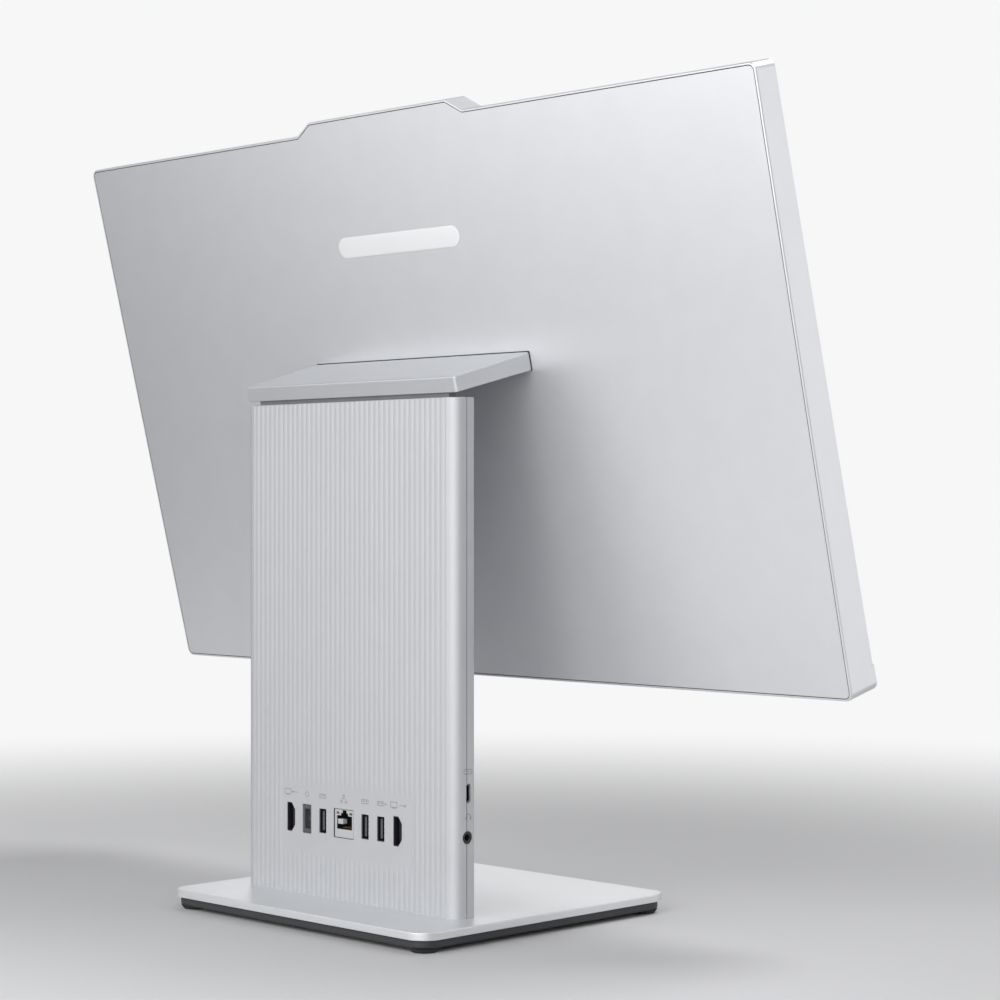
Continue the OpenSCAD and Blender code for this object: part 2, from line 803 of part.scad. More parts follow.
// Side wall ring; under its bottom edge are air slots, speaker slots and two button holes
module side_frame() {
    color([0.82, 0.83, 0.85])
        in_head() difference() {
            intersection() {
                extrude_y(-30, 0) head_outline(0);
                behind_screen(lip_y);
            }
            difference() {
                union() {
                    extrude_y(-30, 0) head_outline(lip_t);
                    block([-300, 300], [-30, 0], [-5, chin_h + 0.4]);
                }
                behind_screen(bezel_t);
            }
            extrude_y(-40, -back_t + eps) head_outline(side_t);
            extrude_y(-back_t, 1) head_outline(rim);
            for (i = [-16 : 16])
                translate([i * vent_pitch, -9.6, -1]) plate(2.4, 8, side_t + 2, 1.19);
            for (i = [-7 : 7])
                translate([fan_c[0] + i * vent_pitch, -9.6, -1]) plate(2.4, 8, side_t + 2, 1.19);
            for (s = [-1, 1], i = [-5 : 5])
                translate([s * speaker_x + i * 4, -9.6, -1]) plate(1.6, 5, side_t + 2, 0.79);
            translate([power_button_x, button_y, -1]) plate(13.4, 4.4, side_t + 2, 2.19);
            translate([input_button_x, button_y, -1]) plate(9.4, 4.4, side_t + 2, 2.19);
        }
}

module head_chassis() {
    color([0.62, 0.63, 0.65])
        in_screen() difference() {
            block([-262, 262], chassis_y, [12, 308]);
            for (s = [-1, 1], z = [158, 208])
                translate([s * 62, 0, z]) rod_y(1.6, chassis_y[0] - 1, chassis_y[1] + 1);
            for (x = [-225, -75, 75, 225])
                extrude_y(chassis_y[0] - 1, chassis_y[1] + 1) translate([x, 20]) round_rect(40, 6, 2.9);
        }
}

module screen_module() {
    color([0.30, 0.31, 0.33])
        in_screen() union() {
            block([-(screen_w + 6) / 2, (screen_w + 6) / 2], module_y,
                  [screen_z - 3.5, screen_z + screen_h + 2]);
        }
}

module screen_glass() {
    color([0.03, 0.03, 0.035])
        in_screen()
            block([-(screen_w + 1) / 2, (screen_w + 1) / 2], [glass_y[0], glass_y[1]],
                  [screen_z - 0.5, screen_z + screen_h + 0.5]);
}

lens_x = 0;
lens_r = 1.7;
shutter_travel = 8;
tab_x = 17;                      // thumb tab, with the shutter open

// Black border round the screen, with the bump's face, the camera window and the shutter's slot
module front_bezel() {
    color([0.05, 0.05, 0.055])
        in_screen() difference() {
            extrude_y(0, bezel_t) intersection() {
                head_outline(lip_t + 0.2);
                translate([-300, chin_h + 0.2]) square([600, 400]);
            }
            block([-(screen_w + 1.4) / 2, (screen_w + 1.4) / 2], [-1, bezel_t + 1],
                  [screen_z - 0.7, screen_z + screen_h + 0.7]);
            translate([lens_x, 0, camera_z]) rod_y(lens_r + 0.1, -1, bezel_t + 1);
            extrude_y(-1, bezel_t + 1) translate([tab_x - shutter_travel / 2, camera_z])
                round_rect(5 + shutter_travel + 0.4, 1.8, 0.89);
            for (x = [-34, 34])
                translate([x, 0, camera_z]) rod_y(0.5, -1, bezel_t + 1);
        }
}

module chin_cover() {
    color([0.80, 0.81, 0.83])
        in_screen() extrude_y(-1, bezel_t) intersection() {
            head_outline(0);
            translate([-300, -10]) square([600, chin_h + 10]);
        }
}

// ---------- camera ----------

module camera_module() {
    color([0.10, 0.20, 0.15])
        in_screen() difference() {
            union() {
                block([-48, 48], [5.6, 6.6], [camera_z - 3.2, camera_z + 3.2]);
                block([lens_x - 3.4, lens_x + 3.4], [2.9, 5.6], [camera_z - 3, camera_z + 3]);
            }
            translate([lens_x, 0, camera_z]) rod_y(lens_r, 1, 4);
        }
}

module camera_lens() {
    color([0.12, 0.14, 0.22])
        in_screen() translate([lens_x, 0, camera_z])
            union() {
                rod_y(lens_r, 0.3, 1.2);
                rod_y(1.4, 3, 3.9);
            }
}

module microphones() {
    color([0.75, 0.70, 0.45])
        in_screen() for (x = [-34, 34])
            block([x - 1.8, x + 1.8], [4.4, 5.6], [camera_z - 1.3, camera_z + 1.3]);
}

// Blade behind the bezel with a thumb tab through the slot
module privacy_shutter() {
    color([0.55, 0.12, 0.10])
        in_screen() union() {
            block([lens_x + 4.2, lens_x + 29], [1.9, 2.4], [camera_z - 2.2, camera_z + 2.2]);
            translate([tab_x, 0, camera_z])
                extrude_y(-0.6, 2) round_rect(5, 1.5, 0.74);
        }
}

// ---------- electronics in the head ----------

memory_x = 82;
memory_z = [36, 76];

// Chips and connectors on the mainboard: left edge, bottom edge, width and height of each
chips = [
    [-92, 112, 18, 16], [-104, 48, 22, 8], [-60, 118, 26, 12], [22, 118, 24, 18], [14, 76, 14, 20]
];

module mainboard() {
    holes = [[-104, 34], [124, 34], [-104, 139], [124, 139]];
    color([0.06, 0.17, 0.12])
        in_screen() difference() {
            union() {
                block([-110, 130], pcb_y, [28, 145]);
                for (c = chips)
                    block([c[0], c[0] + c[2]], [pcb_y[1] - eps, pcb_y[1] + 1.4], [c[1], c[1] + c[3]]);
                for (z = memory_z)
                    block([memory_x - 36, memory_x + 36], [pcb_y[1] - eps, pcb_y[1] + 4], [z, z + 5]);
            }
            for (p = holes) translate([p[0], 0, p[1]]) rod_y(1.6, pcb_y[0] - 1, pcb_y[1] + 1);
        }
}

cpu = [-20, 92];

module cold_plate() {
    color([0.72, 0.45, 0.30])
        in_screen()
            block([cpu[0] - 24, cpu[0] + 24], [pcb_y[1] + 0.2, pcb_y[1] + 1.4],
                [cpu[1] - 20, cpu[1] + 20]);
}

pipe_w = 8;
pipe_bend = 14;

// A quarter of the pipe's bend, from the angle a to a + 90
module pipe_bend_plan(a) {
    r = pipe_bend;
    intersection() {
        difference() {
            circle(r + pipe_w / 2);
            circle(r - pipe_w / 2);
        }
        rotate(a) square(2 * r);
    }
}

// Flattened copper pipe from the cold plate, left and then down past the blower to the fins
module heat_pipe() {
    y0 = pcb_y[1] + 1.4;
    left = fan_c[0] + fan_r + 11;
    low = fan_c[1] - fan_r - 14;
    r = pipe_bend;
    color([0.76, 0.48, 0.32])
        in_screen() extrude_y(y0, y0 + 2.2) union() {
            translate([left + r, cpu[1] - pipe_w / 2]) square([cpu[0] + 22 - left - r, pipe_w]);
            translate([left + r, cpu[1] - r]) pipe_bend_plan(90);
            translate([left - pipe_w / 2, low + r]) square([pipe_w, cpu[1] - low - 2 * r]);
            translate([left - r, low + r]) pipe_bend_plan(270);
            translate([fan_c[0] - fan_r, low - pipe_w / 2]) square([left - r - fan_c[0] + fan_r, pipe_w]);
        }
}

module fin_stack() {
    x0 = fan_c[0] - fan_r;
    z0 = fan_c[1] - fan_r - 24;
    n = 24;
    pitch = 2 * fan_r / n;
    color([0.78, 0.79, 0.80])
        in_screen() union() {
            block([x0, x0 + 2 * fan_r], [chassis_y[1] + 0.4, chassis_y[1] + 0.9], [z0, z0 + 20]);
            for (i = [0 : n])
                block([x0 + i * pitch - 0.15, x0 + i * pitch + 0.15], [chassis_y[1] + 0.8, pcb_y[1] + 1.4],
                      [z0, z0 + 20]);
        }
}

housing_y = [7.4, 13.2];

// Flat blower case: open intake in the back, outlet towards the fins
module blower_housing() {
    wall = 0.8;
    side = fan_r + 3;
    color([0.13, 0.13, 0.14])
        in_screen() translate([fan_c[0], 0, fan_c[1]]) difference() {
            extrude_y(housing_y[0], housing_y[1]) union() {
                circle(side);
                translate([-side, -side]) square([2 * side, side]);
            }
            extrude_y(housing_y[0] + wall, housing_y[1] - wall) union() {
                circle(side - wall);
                translate([-side + wall, -side - 1]) square([2 * (side - wall), side + 1]);
            }
            rod_y(fan_r * 0.62, housing_y[1] - 2, housing_y[1] + 1);
        }
}

module fan_rotor() {
    blades = 17;
    hub = 12;
    y0 = housing_y[0] + 1.3;
    y1 = housing_y[1] - 1.3;
    color([0.20, 0.20, 0.21])
        in_screen() translate([fan_c[0], 0, fan_c[1]]) union() {
            rod_y(hub, y0, y1 + 0.5);
            rod_y(fan_r - 8, y0, y0 + 0.6);
            extrude_y(y0 + 0.3, y1)
                for (i = [0 : blades - 1])
                    rotate(i * 360 / blades) translate([hub - 1, 0]) rotate(-12)
                        square([fan_r - hub - 1, 0.9]);
        }
}

module memory_modules() {
    color([0.07, 0.20, 0.13])
        in_screen() for (z = memory_z)
            union() {
                block([memory_x - 34, memory_x + 34], [pcb_y[1] + 1.6, pcb_y[1] + 2.6], [z + 5, z + 35]);
                for (i = [-1.5 : 1.5])
                    translate([memory_x + i * 16, 0, z + 18])
                        block([-6, 6], [pcb_y[1] + 2.5, pcb_y[1] + 3.4], [-5, 5]);
            }
}

module solid_state_drive() {
    color([0.05, 0.05, 0.06])
        in_screen() union() {
            block([-40, 40], [pcb_y[1] + 0.9, pcb_y[1] + 1.7], [36, 58]);
            for (x = [-34, -12, 10])
                block([x, x + 18], [pcb_y[1] + 1.6, pcb_y[1] + 2.8], [39, 55]);
        }
}

module wireless_card() {
    color([0.10, 0.10, 0.30])
        in_screen() union() {
            block([-74, -52], [pcb_y[1] + 0.9, pcb_y[1] + 1.7], [34, 64]);
            block([-72, -54], [pcb_y[1] + 1.6, pcb_y[1] + 2.8], [40, 60]);
        }
}

module coin_cell() {
    color([0.80, 0.80, 0.78])
        in_screen() translate([104, 0, 130]) rod_y(8, pcb_y[1] + 1.6, pcb_y[1] + 3.4);
}

// Sealed speaker box with a racetrack diaphragm, firing down through the bottom slots
module speaker(s) {
    color([0.11, 0.11, 0.12])
        in_screen() mirror([s < 0 ? 1 : 0, 0, 0]) union() {
            block([speaker_x - 28, speaker_x + 28], [chassis_y[1] + 0.2, chassis_y[1] + 9.6], [4.4, 24]);
            translate([speaker_x, chassis_y[1] + 5, 3.2]) plate(50, 7, 1.3, 3.49);
        }
}

module antennas() {
    color([0.72, 0.55, 0.30])
        in_screen() for (s = [-1, 1])
            block([s * 240 - 14, s * 240 + 14], [chassis_y[1] + 0.2, chassis_y[1] + 0.8], [299, 307]);
}

power_button_x = 184;
input_button_x = 166;
button_y = -12;

module button_board() {
    color([0.09, 0.22, 0.16])
        in_head() union() {
            block([input_button_x - 8, power_button_x + 10], [button_y - 1.9, button_y + 1.9], [6.2, 7.2]);
            for (x = [power_button_x, input_button_x])
                block([x - 1.6, x + 1.6], [button_y - 1.5, button_y + 1.5], [4.9, 6.3]);
        }
}

module push_button(x, w) {
    color([0.70, 0.71, 0.73])
        in_head() translate([x, button_y, 0]) union() {
            translate([0, 0, -0.5]) plate(w, 4, 3, 1.99);
            translate([0, 0, side_t + 0.1]) plate(w + 1.6, 5, 0.9, 2.49);
            translate([0, 0, side_t + 0.9]) cylinder(r = 0.9, h = 1);
        }
}

foot_plate();
foot_skirt();
foot_ballast();
foot_pads();
foot_screws();
column_frame();
column_rear_cover();
column_front_cover();
column_screws();
io_board();
hdmi_port(hdmi_x[0]);  // hdmi_in_port
power_inlet();
usb_port(usb_x[0]);  // usb_port_left
ethernet_port();
usb_port(usb_x[1]);  // usb_port_middle
usb_port(usb_x[2]);  // usb_port_right
hdmi_port(hdmi_x[1]);  // hdmi_out_port
usb_c_port();
audio_jack();
column_harness();
hinge_knuckle(-1);  // hinge_knuckle_left
hinge_knuckle(1);  // hinge_knuckle_right
hinge_screws();
hinge_pin(-1);  // hinge_pin_left
hinge_pin(1);  // hinge_pin_right
hinge_washers();
hinge_nuts();
hinge_arm();
neck_cover();
neck_underside();
arm_screws();
head_harness();
rear_cover();
nameplate();
side_frame();
head_chassis();
screen_module();
screen_glass();
front_bezel();
chin_cover();
camera_module();
camera_lens();
microphones();
privacy_shutter();
mainboard();
cold_plate();
heat_pipe();
fin_stack();
blower_housing();
fan_rotor();
memory_modules();
solid_state_drive();
wireless_card();
coin_cell();
speaker(-1);  // speaker_left
speaker(1);  // speaker_right
antennas();
button_board();
push_button(power_button_x, 13);  // power_button
push_button(input_button_x, 9);  // input_button
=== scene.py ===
"""Looks of the all-in-one computer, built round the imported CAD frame.

Lengths are in millimetres until a mesh is made. Lights, floor and camera are in metres.
"""

import json
import math

import bmesh
import bpy
from mathutils import Matrix, Vector


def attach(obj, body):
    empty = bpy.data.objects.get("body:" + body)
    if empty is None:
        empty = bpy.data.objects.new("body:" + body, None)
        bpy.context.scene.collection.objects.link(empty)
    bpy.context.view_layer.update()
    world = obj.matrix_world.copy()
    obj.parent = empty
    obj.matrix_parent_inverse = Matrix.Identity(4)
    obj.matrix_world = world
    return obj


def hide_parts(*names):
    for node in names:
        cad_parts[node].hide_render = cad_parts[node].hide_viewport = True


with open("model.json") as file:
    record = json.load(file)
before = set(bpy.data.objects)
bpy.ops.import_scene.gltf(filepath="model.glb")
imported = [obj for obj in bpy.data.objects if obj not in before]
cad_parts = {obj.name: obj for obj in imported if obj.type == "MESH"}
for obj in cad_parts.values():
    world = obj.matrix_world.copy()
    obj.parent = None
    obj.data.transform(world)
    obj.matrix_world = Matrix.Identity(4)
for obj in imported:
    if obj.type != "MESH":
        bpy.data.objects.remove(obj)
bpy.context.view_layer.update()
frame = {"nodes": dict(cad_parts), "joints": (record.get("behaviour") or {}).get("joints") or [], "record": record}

MM = 0.001

# ---------- driving dimensions ----------
# They are the CAD model's own, except SEAM, RIB_H and COVER_EDGE_Y, which are set so that seams read
# as lines and the ribs stay faint.

HEAD_W, HEAD_H, HEAD_R = 541.0, 321.4, 4.5
HEAD_TOP_T, HEAD_BOTTOM_T = 15.5, 21.1
BUMP_W, BUMP_ROOT_W, BUMP_H = 113.4, 137.0, 6.9
BUMP_ROOT_R, BUMP_CREST_R = 2.5, 3.5
RIM, SEAM = 1.2, 0.4             # the side frame's rim round the rear cover, and the seam between them
COVER_T, FRAME_WALL = 1.8, 2.0
LIP_T, LIP_Y, BEZEL_T = 0.9, 0.15, 1.6
CHIN_TOP = 13.9                  # the front lip of the side frame starts above the chin strip
BADGE_W, BADGE_H = 100.0, 12.0
BADGE_GAP, BADGE_POCKET = 0.2, 0.35
NECK_TAPER, NECK_DROP = 2.3, 1.5  # how much narrower and lower the neck is at its rear edge
RIB_PITCH, RIB_COUNT, RIB_H = 4.04, 41, 0.2
COLUMN_R, COLUMN_WALL = 6.5, 1.6
COVER_EDGE_Y = 46.4              # the column's rear cover ends here, at the seam down its sides
FIELD_W, FIELD_LOW, FIELD_HIGH = 106.0, 36.4, 69.9  # smooth field round the rear sockets
FADE_BELOW, FADE_ABOVE = 7, 9    # height over which the ribs fade out below and above the field
FOOT_R, SKIRT_INSET = 12.3, 2.2
PRINT_Z = 67.6                   # height of the pictograms over the rear sockets


def named(rows, name):
    """The row with a name, out of a list in the frame."""
    return next(row for row in rows if row["name"] == name)


def axes_from(up):
    """Axes of a leaning frame as matrix columns: X, backward and up."""
    up = Vector(up).normalized()
    return Matrix(((1, 0, 0), (0, up.z, -up.y), tuple(up))).transposed()


def box_along(node, axes):
    """Lowest and highest corner of a CAD node, in mm, measured along leaning axes."""
    back = axes.transposed()
    points = [back @ v.co / MM for v in frame["nodes"][node].data.vertices]
    low = Vector([min(p[i] for p in points) for i in range(3)])
    high = Vector([max(p[i] for p in points) for i in range(3)])
    return low, high


WORLD = Matrix.Identity(3)
HEAD = axes_from(named(frame["joints"], "power_press")["axis"])    # the buttons move along the head's height
WEDGE = math.atan((HEAD_BOTTOM_T - HEAD_TOP_T) / HEAD_H)

# ---------- outlines ----------


def offset_outline(points, inset):
    """A closed counter-clockwise outline moved inward by inset, corner by corner."""
    corners = []
    for i, p in enumerate(points):
        a = (p - points[i - 1]).normalized()
        b = (points[(i + 1) % len(points)] - p).normalized()
        normal_a, normal_b = Vector((-a.y, a.x)), Vector((-b.y, b.x))
        bisector = normal_a + normal_b
        corners.append(p + bisector * (inset * 2 / bisector.length_squared))
    return corners


ARC_STEPS = 8


def fillet_outline(points, radii, steps=ARC_STEPS):
    """A closed outline with each corner rounded to its radius by an arc of the given steps."""
    rounded = []
    for i, p in enumerate(points):
        a = (points[i - 1] - p).normalized()
        b = (points[(i + 1) % len(points)] - p).normalized()
        half = a.angle(b) / 2
        reach = radii[i] / math.tan(half)
        start, end = p + a * reach, p + b * reach
        centre = p + (a + b).normalized() * (radii[i] / math.sin(half))
        first, last = start - centre, end - centre
        sweep = first.angle(last)
        for k in range(steps + 1):
            t = k / steps
            w0 = math.sin((1 - t) * sweep) / math.sin(sweep)
            w1 = math.sin(t * sweep) / math.sin(sweep)
            rounded.append(centre + (first * w0 + last * w1))
    return rounded


def rect_outline(w, h, r, inset=0.0, centre=(0.0, 0.0), steps=ARC_STEPS):
    """A rectangle with round corners, counter-clockwise, moved inward by inset."""
    x, y = w / 2 - inset, h / 2 - inset
    corners = [Vector(c) + Vector(centre) for c in ((x, -y), (x, y), (-x, y), (-x, -y))]
    return fillet_outline(corners, [max(r - inset, 0.05)] * 4, steps)


def head_outline(inset):
    """Outline of the head with its camera bump, in the head's X and up, from the bottom edge.

    Two close points on each side mark the height where the front lip starts.
    """
    x, top = HEAD_W / 2, HEAD_H
    root, crest = BUMP_ROOT_W / 2, BUMP_W / 2
    corners = [
        (x, 0), (x, top), (root, top), (crest, top + BUMP_H),
        (-crest, top + BUMP_H), (-root, top), (-x, top), (-x, 0),
    ]
    outer, hollow, ridge = HEAD_R - inset, BUMP_ROOT_R + inset, BUMP_CREST_R - inset
    radii = [outer, outer, hollow, ridge, ridge, hollow, outer, outer]
    inner = offset_outline([Vector(c) for c in corners], inset)
    outline = fillet_outline(inner, [max(r, 0.3) for r in radii])
    side = [Vector((x - inset, CHIN_TOP + d)) for d in (-0.05, 0.05)]
    mirrored = [Vector((-p.x, p.y)) for p in reversed(side)]
    arc = ARC_STEPS + 1
    return outline[:arc] + side + outline[arc:-arc] + mirrored + outline[-arc:]


def circle_outline(centre, radius, steps=48):
    """A circle as a closed outline."""
    angles = [2 * math.pi * k / steps for k in range(steps)]
    return [Vector((centre.x + radius * math.cos(a), centre.y + radius * math.sin(a))) for a in angles]


# ---------- meshes ----------


def quarter(radius, steps):
    """Inset and drop of each step of a quarter-round edge, from the flat face to the side."""
    angles = [math.pi / 2 * k / steps for k in range(steps + 1)]
    return [(radius * (1 - math.sin(a)), radius * (1 - math.cos(a))) for a in angles]


def loft(rings, loop=False):
    """Vertices and faces of a skin over rings of equal length: capped at both ends, or closed on itself."""
    n = len(rings[0])
    verts = [v for ring in rings for v in ring]
    faces = []
    last = len(rings) if loop else len(rings) - 1
    for r in range(last):
        s = (r + 1) % len(rings)
        for i in range(n):
            j = (i + 1) % n
            faces.append((r * n + i, r * n + j, s * n + j, s * n + i))
    if not loop:
        faces.append(tuple(range(n))[::-1])
        faces.append(tuple((len(rings) - 1) * n + i for i in range(n)))
    return verts, faces


def prism(outline, low, high, plane="XZ"):
    """A straight solid over an outline: in X and Z along Y, in X and Y along Z, or in Y and Z along X."""
    place = {
        "XZ": lambda p, d: Vector((p[0], d, p[1])),
        "XY": lambda p, d: Vector((p[0], p[1], d)),
        "YZ": lambda p, d: Vector((d, p[0], p[1])),
    }[plane]
    return loft([[place(p, d) for p in outline] for d in (low, high)])


def joined(parts):
    """Several (vertices, faces) pairs as one."""
    verts, faces = [], []
    for part_verts, part_faces in parts:
        start = len(verts)
        verts += part_verts
        faces += [tuple(i + start for i in f) for f in part_faces]
    return verts, faces


def mesh_object(name, shape, axes=WORLD):
    """A Blender object from (vertices, faces) in mm along the given axes, with its faces turned outward."""
    verts, faces = shape
    mesh = bpy.data.meshes.new(name)
    mesh.from_pydata([(axes @ Vector(v)) * MM for v in verts], [], faces)
    mesh.update()
    work = bmesh.new()
    work.from_mesh(mesh)
    bmesh.ops.recalc_face_normals(work, faces=work.faces)
    work.to_mesh(mesh)
    work.free()
    piece = bpy.data.objects.new(name, mesh)
    bpy.context.scene.collection.objects.link(piece)
    return piece


def carve(piece, shape, axes=WORLD):
    """Cuts a solid out of a piece."""
    cutter = mesh_object("cutter", shape, axes)
    cut = piece.modifiers.new("cut", "BOOLEAN")
    cut.operation = "DIFFERENCE"
    cut.solver = "EXACT"
    cut.object = cutter
    bpy.context.view_layer.update()
    result = piece.evaluated_get(bpy.context.evaluated_depsgraph_get())
    mesh = bpy.data.meshes.new_from_object(result)
    piece.modifiers.clear()
    piece.data = mesh
    bpy.data.objects.remove(cutter)


def smooth(piece, angle):
    """Smooth shading that keeps flat faces flat and leaves corners sharper than the angle."""
    for polygon in piece.data.polygons:
        polygon.use_smooth = True
    piece.data.set_sharp_from_angle(angle=math.radians(angle))
    normals = piece.modifiers.new("normals", "WEIGHTED_NORMAL")
    normals.keep_sharp = True


def finish_piece(piece, body, material, nodes=(), angle=32.0):
    """Gives a piece its material, shading and body, and the CAD nodes that it stands for."""
    piece.data.materials.clear()
    piece.data.materials.append(material)
    smooth(piece, angle)
    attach(piece, body)
    if nodes:
        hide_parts(*nodes)


# ---------- materials ----------


def base_material(name, colour, roughness, metallic, specular, coat):
    """A Principled material with its constant values set on the shader's own sockets."""
    material = bpy.data.materials.new(name)
    material.use_nodes = True
    shader = material.node_tree.nodes["Principled BSDF"]
    shader.inputs["Base Color"].default_value = (*colour, 1)
    shader.inputs["Roughness"].default_value = roughness
    shader.inputs["Metallic"].default_value = metallic
    shader.inputs["Specular IOR Level"].default_value = specular
    shader.inputs["Coat Weight"].default_value = coat
    shader.inputs["Coat Roughness"].default_value = 0.1
    return material


def noise(material, scale, detail, stretch):
    """A noise texture in object space, finer along the axes with a larger stretch."""
    nodes, links = material.node_tree.nodes, material.node_tree.links
    place = nodes.new("ShaderNodeTexCoord")
    mapping = nodes.new("ShaderNodeMapping")
    mapping.inputs["Scale"].default_value = stretch
    texture = nodes.new("ShaderNodeTexNoise")
    texture.inputs["Scale"].default_value = scale
    texture.inputs["Detail"].default_value = detail
    links.new(place.outputs["Object"], mapping.inputs["Vector"])
    links.new(mapping.outputs["Vector"], texture.inputs["Vector"])
    return texture.outputs["Fac"]


def spread_value(material, source, low, high):
    """A number that runs from low to high as the source runs over its middle range."""
    nodes, links = material.node_tree.nodes, material.node_tree.links
    ranged = nodes.new("ShaderNodeMapRange")
    ranged.inputs["From Min"].default_value = 0.3
    ranged.inputs["From Max"].default_value = 0.7
    ranged.inputs["To Min"].default_value = low
    ranged.inputs["To Max"].default_value = high
    links.new(source, ranged.inputs["Value"])
    return ranged.outputs["Result"]


def blend_colours(material, source, first, second):
    """A colour that runs from first to second as the source runs over its middle range."""
    nodes, links = material.node_tree.nodes, material.node_tree.links
    ramp = nodes.new("ShaderNodeValToRGB")
    ramp.color_ramp.elements[0].position = 0.32
    ramp.color_ramp.elements[1].position = 0.68
    ramp.color_ramp.elements[0].color = (*first, 1)
    ramp.color_ramp.elements[1].color = (*second, 1)
    links.new(source, ramp.inputs["Fac"])
    return ramp.outputs["Color"]


def shade(colour, factor):
    """A colour made darker or lighter by a factor."""
    return tuple(min(c * factor, 1.0) for c in colour)


GRAIN_DEPTH = 0.02


def surface(name, colour, roughness, metallic=0.0, specular=0.5, coat=0.0, blotch=60.0, tone=0.02,
            grain=2500.0, bump=0.05, rough_spread=0.05, stretch=(1, 1, 1)):
    """A procedural surface: slow tone change, fine grain in the roughness and a fine bump."""
    material = base_material(name, colour, roughness, metallic, specular, coat)
    nodes, links = material.node_tree.nodes, material.node_tree.links
    shader = nodes["Principled BSDF"]
    slow = noise(material, blotch, 3.0, stretch)
    fine = noise(material, grain, 2.0, stretch)
    links.new(blend_colours(material, slow, shade(colour, 1 - tone), shade(colour, 1 + tone)),
              shader.inputs["Base Color"])
    links.new(spread_value(material, fine, roughness - rough_spread, roughness + rough_spread),
              shader.inputs["Roughness"])
    relief = nodes.new("ShaderNodeBump")
    relief.inputs["Strength"].default_value = bump
    relief.inputs["Distance"].default_value = GRAIN_DEPTH * MM
    links.new(fine, relief.inputs["Height"])
    links.new(relief.outputs["Normal"], shader.inputs["Normal"])
    return material


def circuit_material(name, mask, trace):
    """Solder mask with small scattered spots of a lighter colour over the copper."""
    material = surface(name, mask, 0.35, blotch=220.0, tone=0.12, grain=1800.0, bump=0.1)
    nodes, links = material.node_tree.nodes, material.node_tree.links
    shader = nodes["Principled BSDF"]
    old = shader.inputs["Base Color"].links[0].from_socket
    place = nodes.new("ShaderNodeTexCoord")
    cells = nodes.new("ShaderNodeTexVoronoi")
    cells.distance = "MANHATTAN"
    cells.inputs["Scale"].default_value = 420.0
    spots = nodes.new("ShaderNodeMath")
    spots.operation = "LESS_THAN"
    spots.inputs[1].default_value = 0.16
    mix = nodes.new("ShaderNodeMix")        # its sockets 6 and 7 are the two colours that it mixes
    mix.data_type = "RGBA"
    mix.inputs[7].default_value = (*trace, 1)
    links.new(place.outputs["Object"], cells.inputs["Vector"])
    links.new(cells.outputs["Distance"], spots.inputs[0])
    links.new(spots.outputs["Value"], mix.inputs[0])
    links.new(old, mix.inputs[6])
    links.new(mix.outputs[2], shader.inputs["Base Color"])
    return material


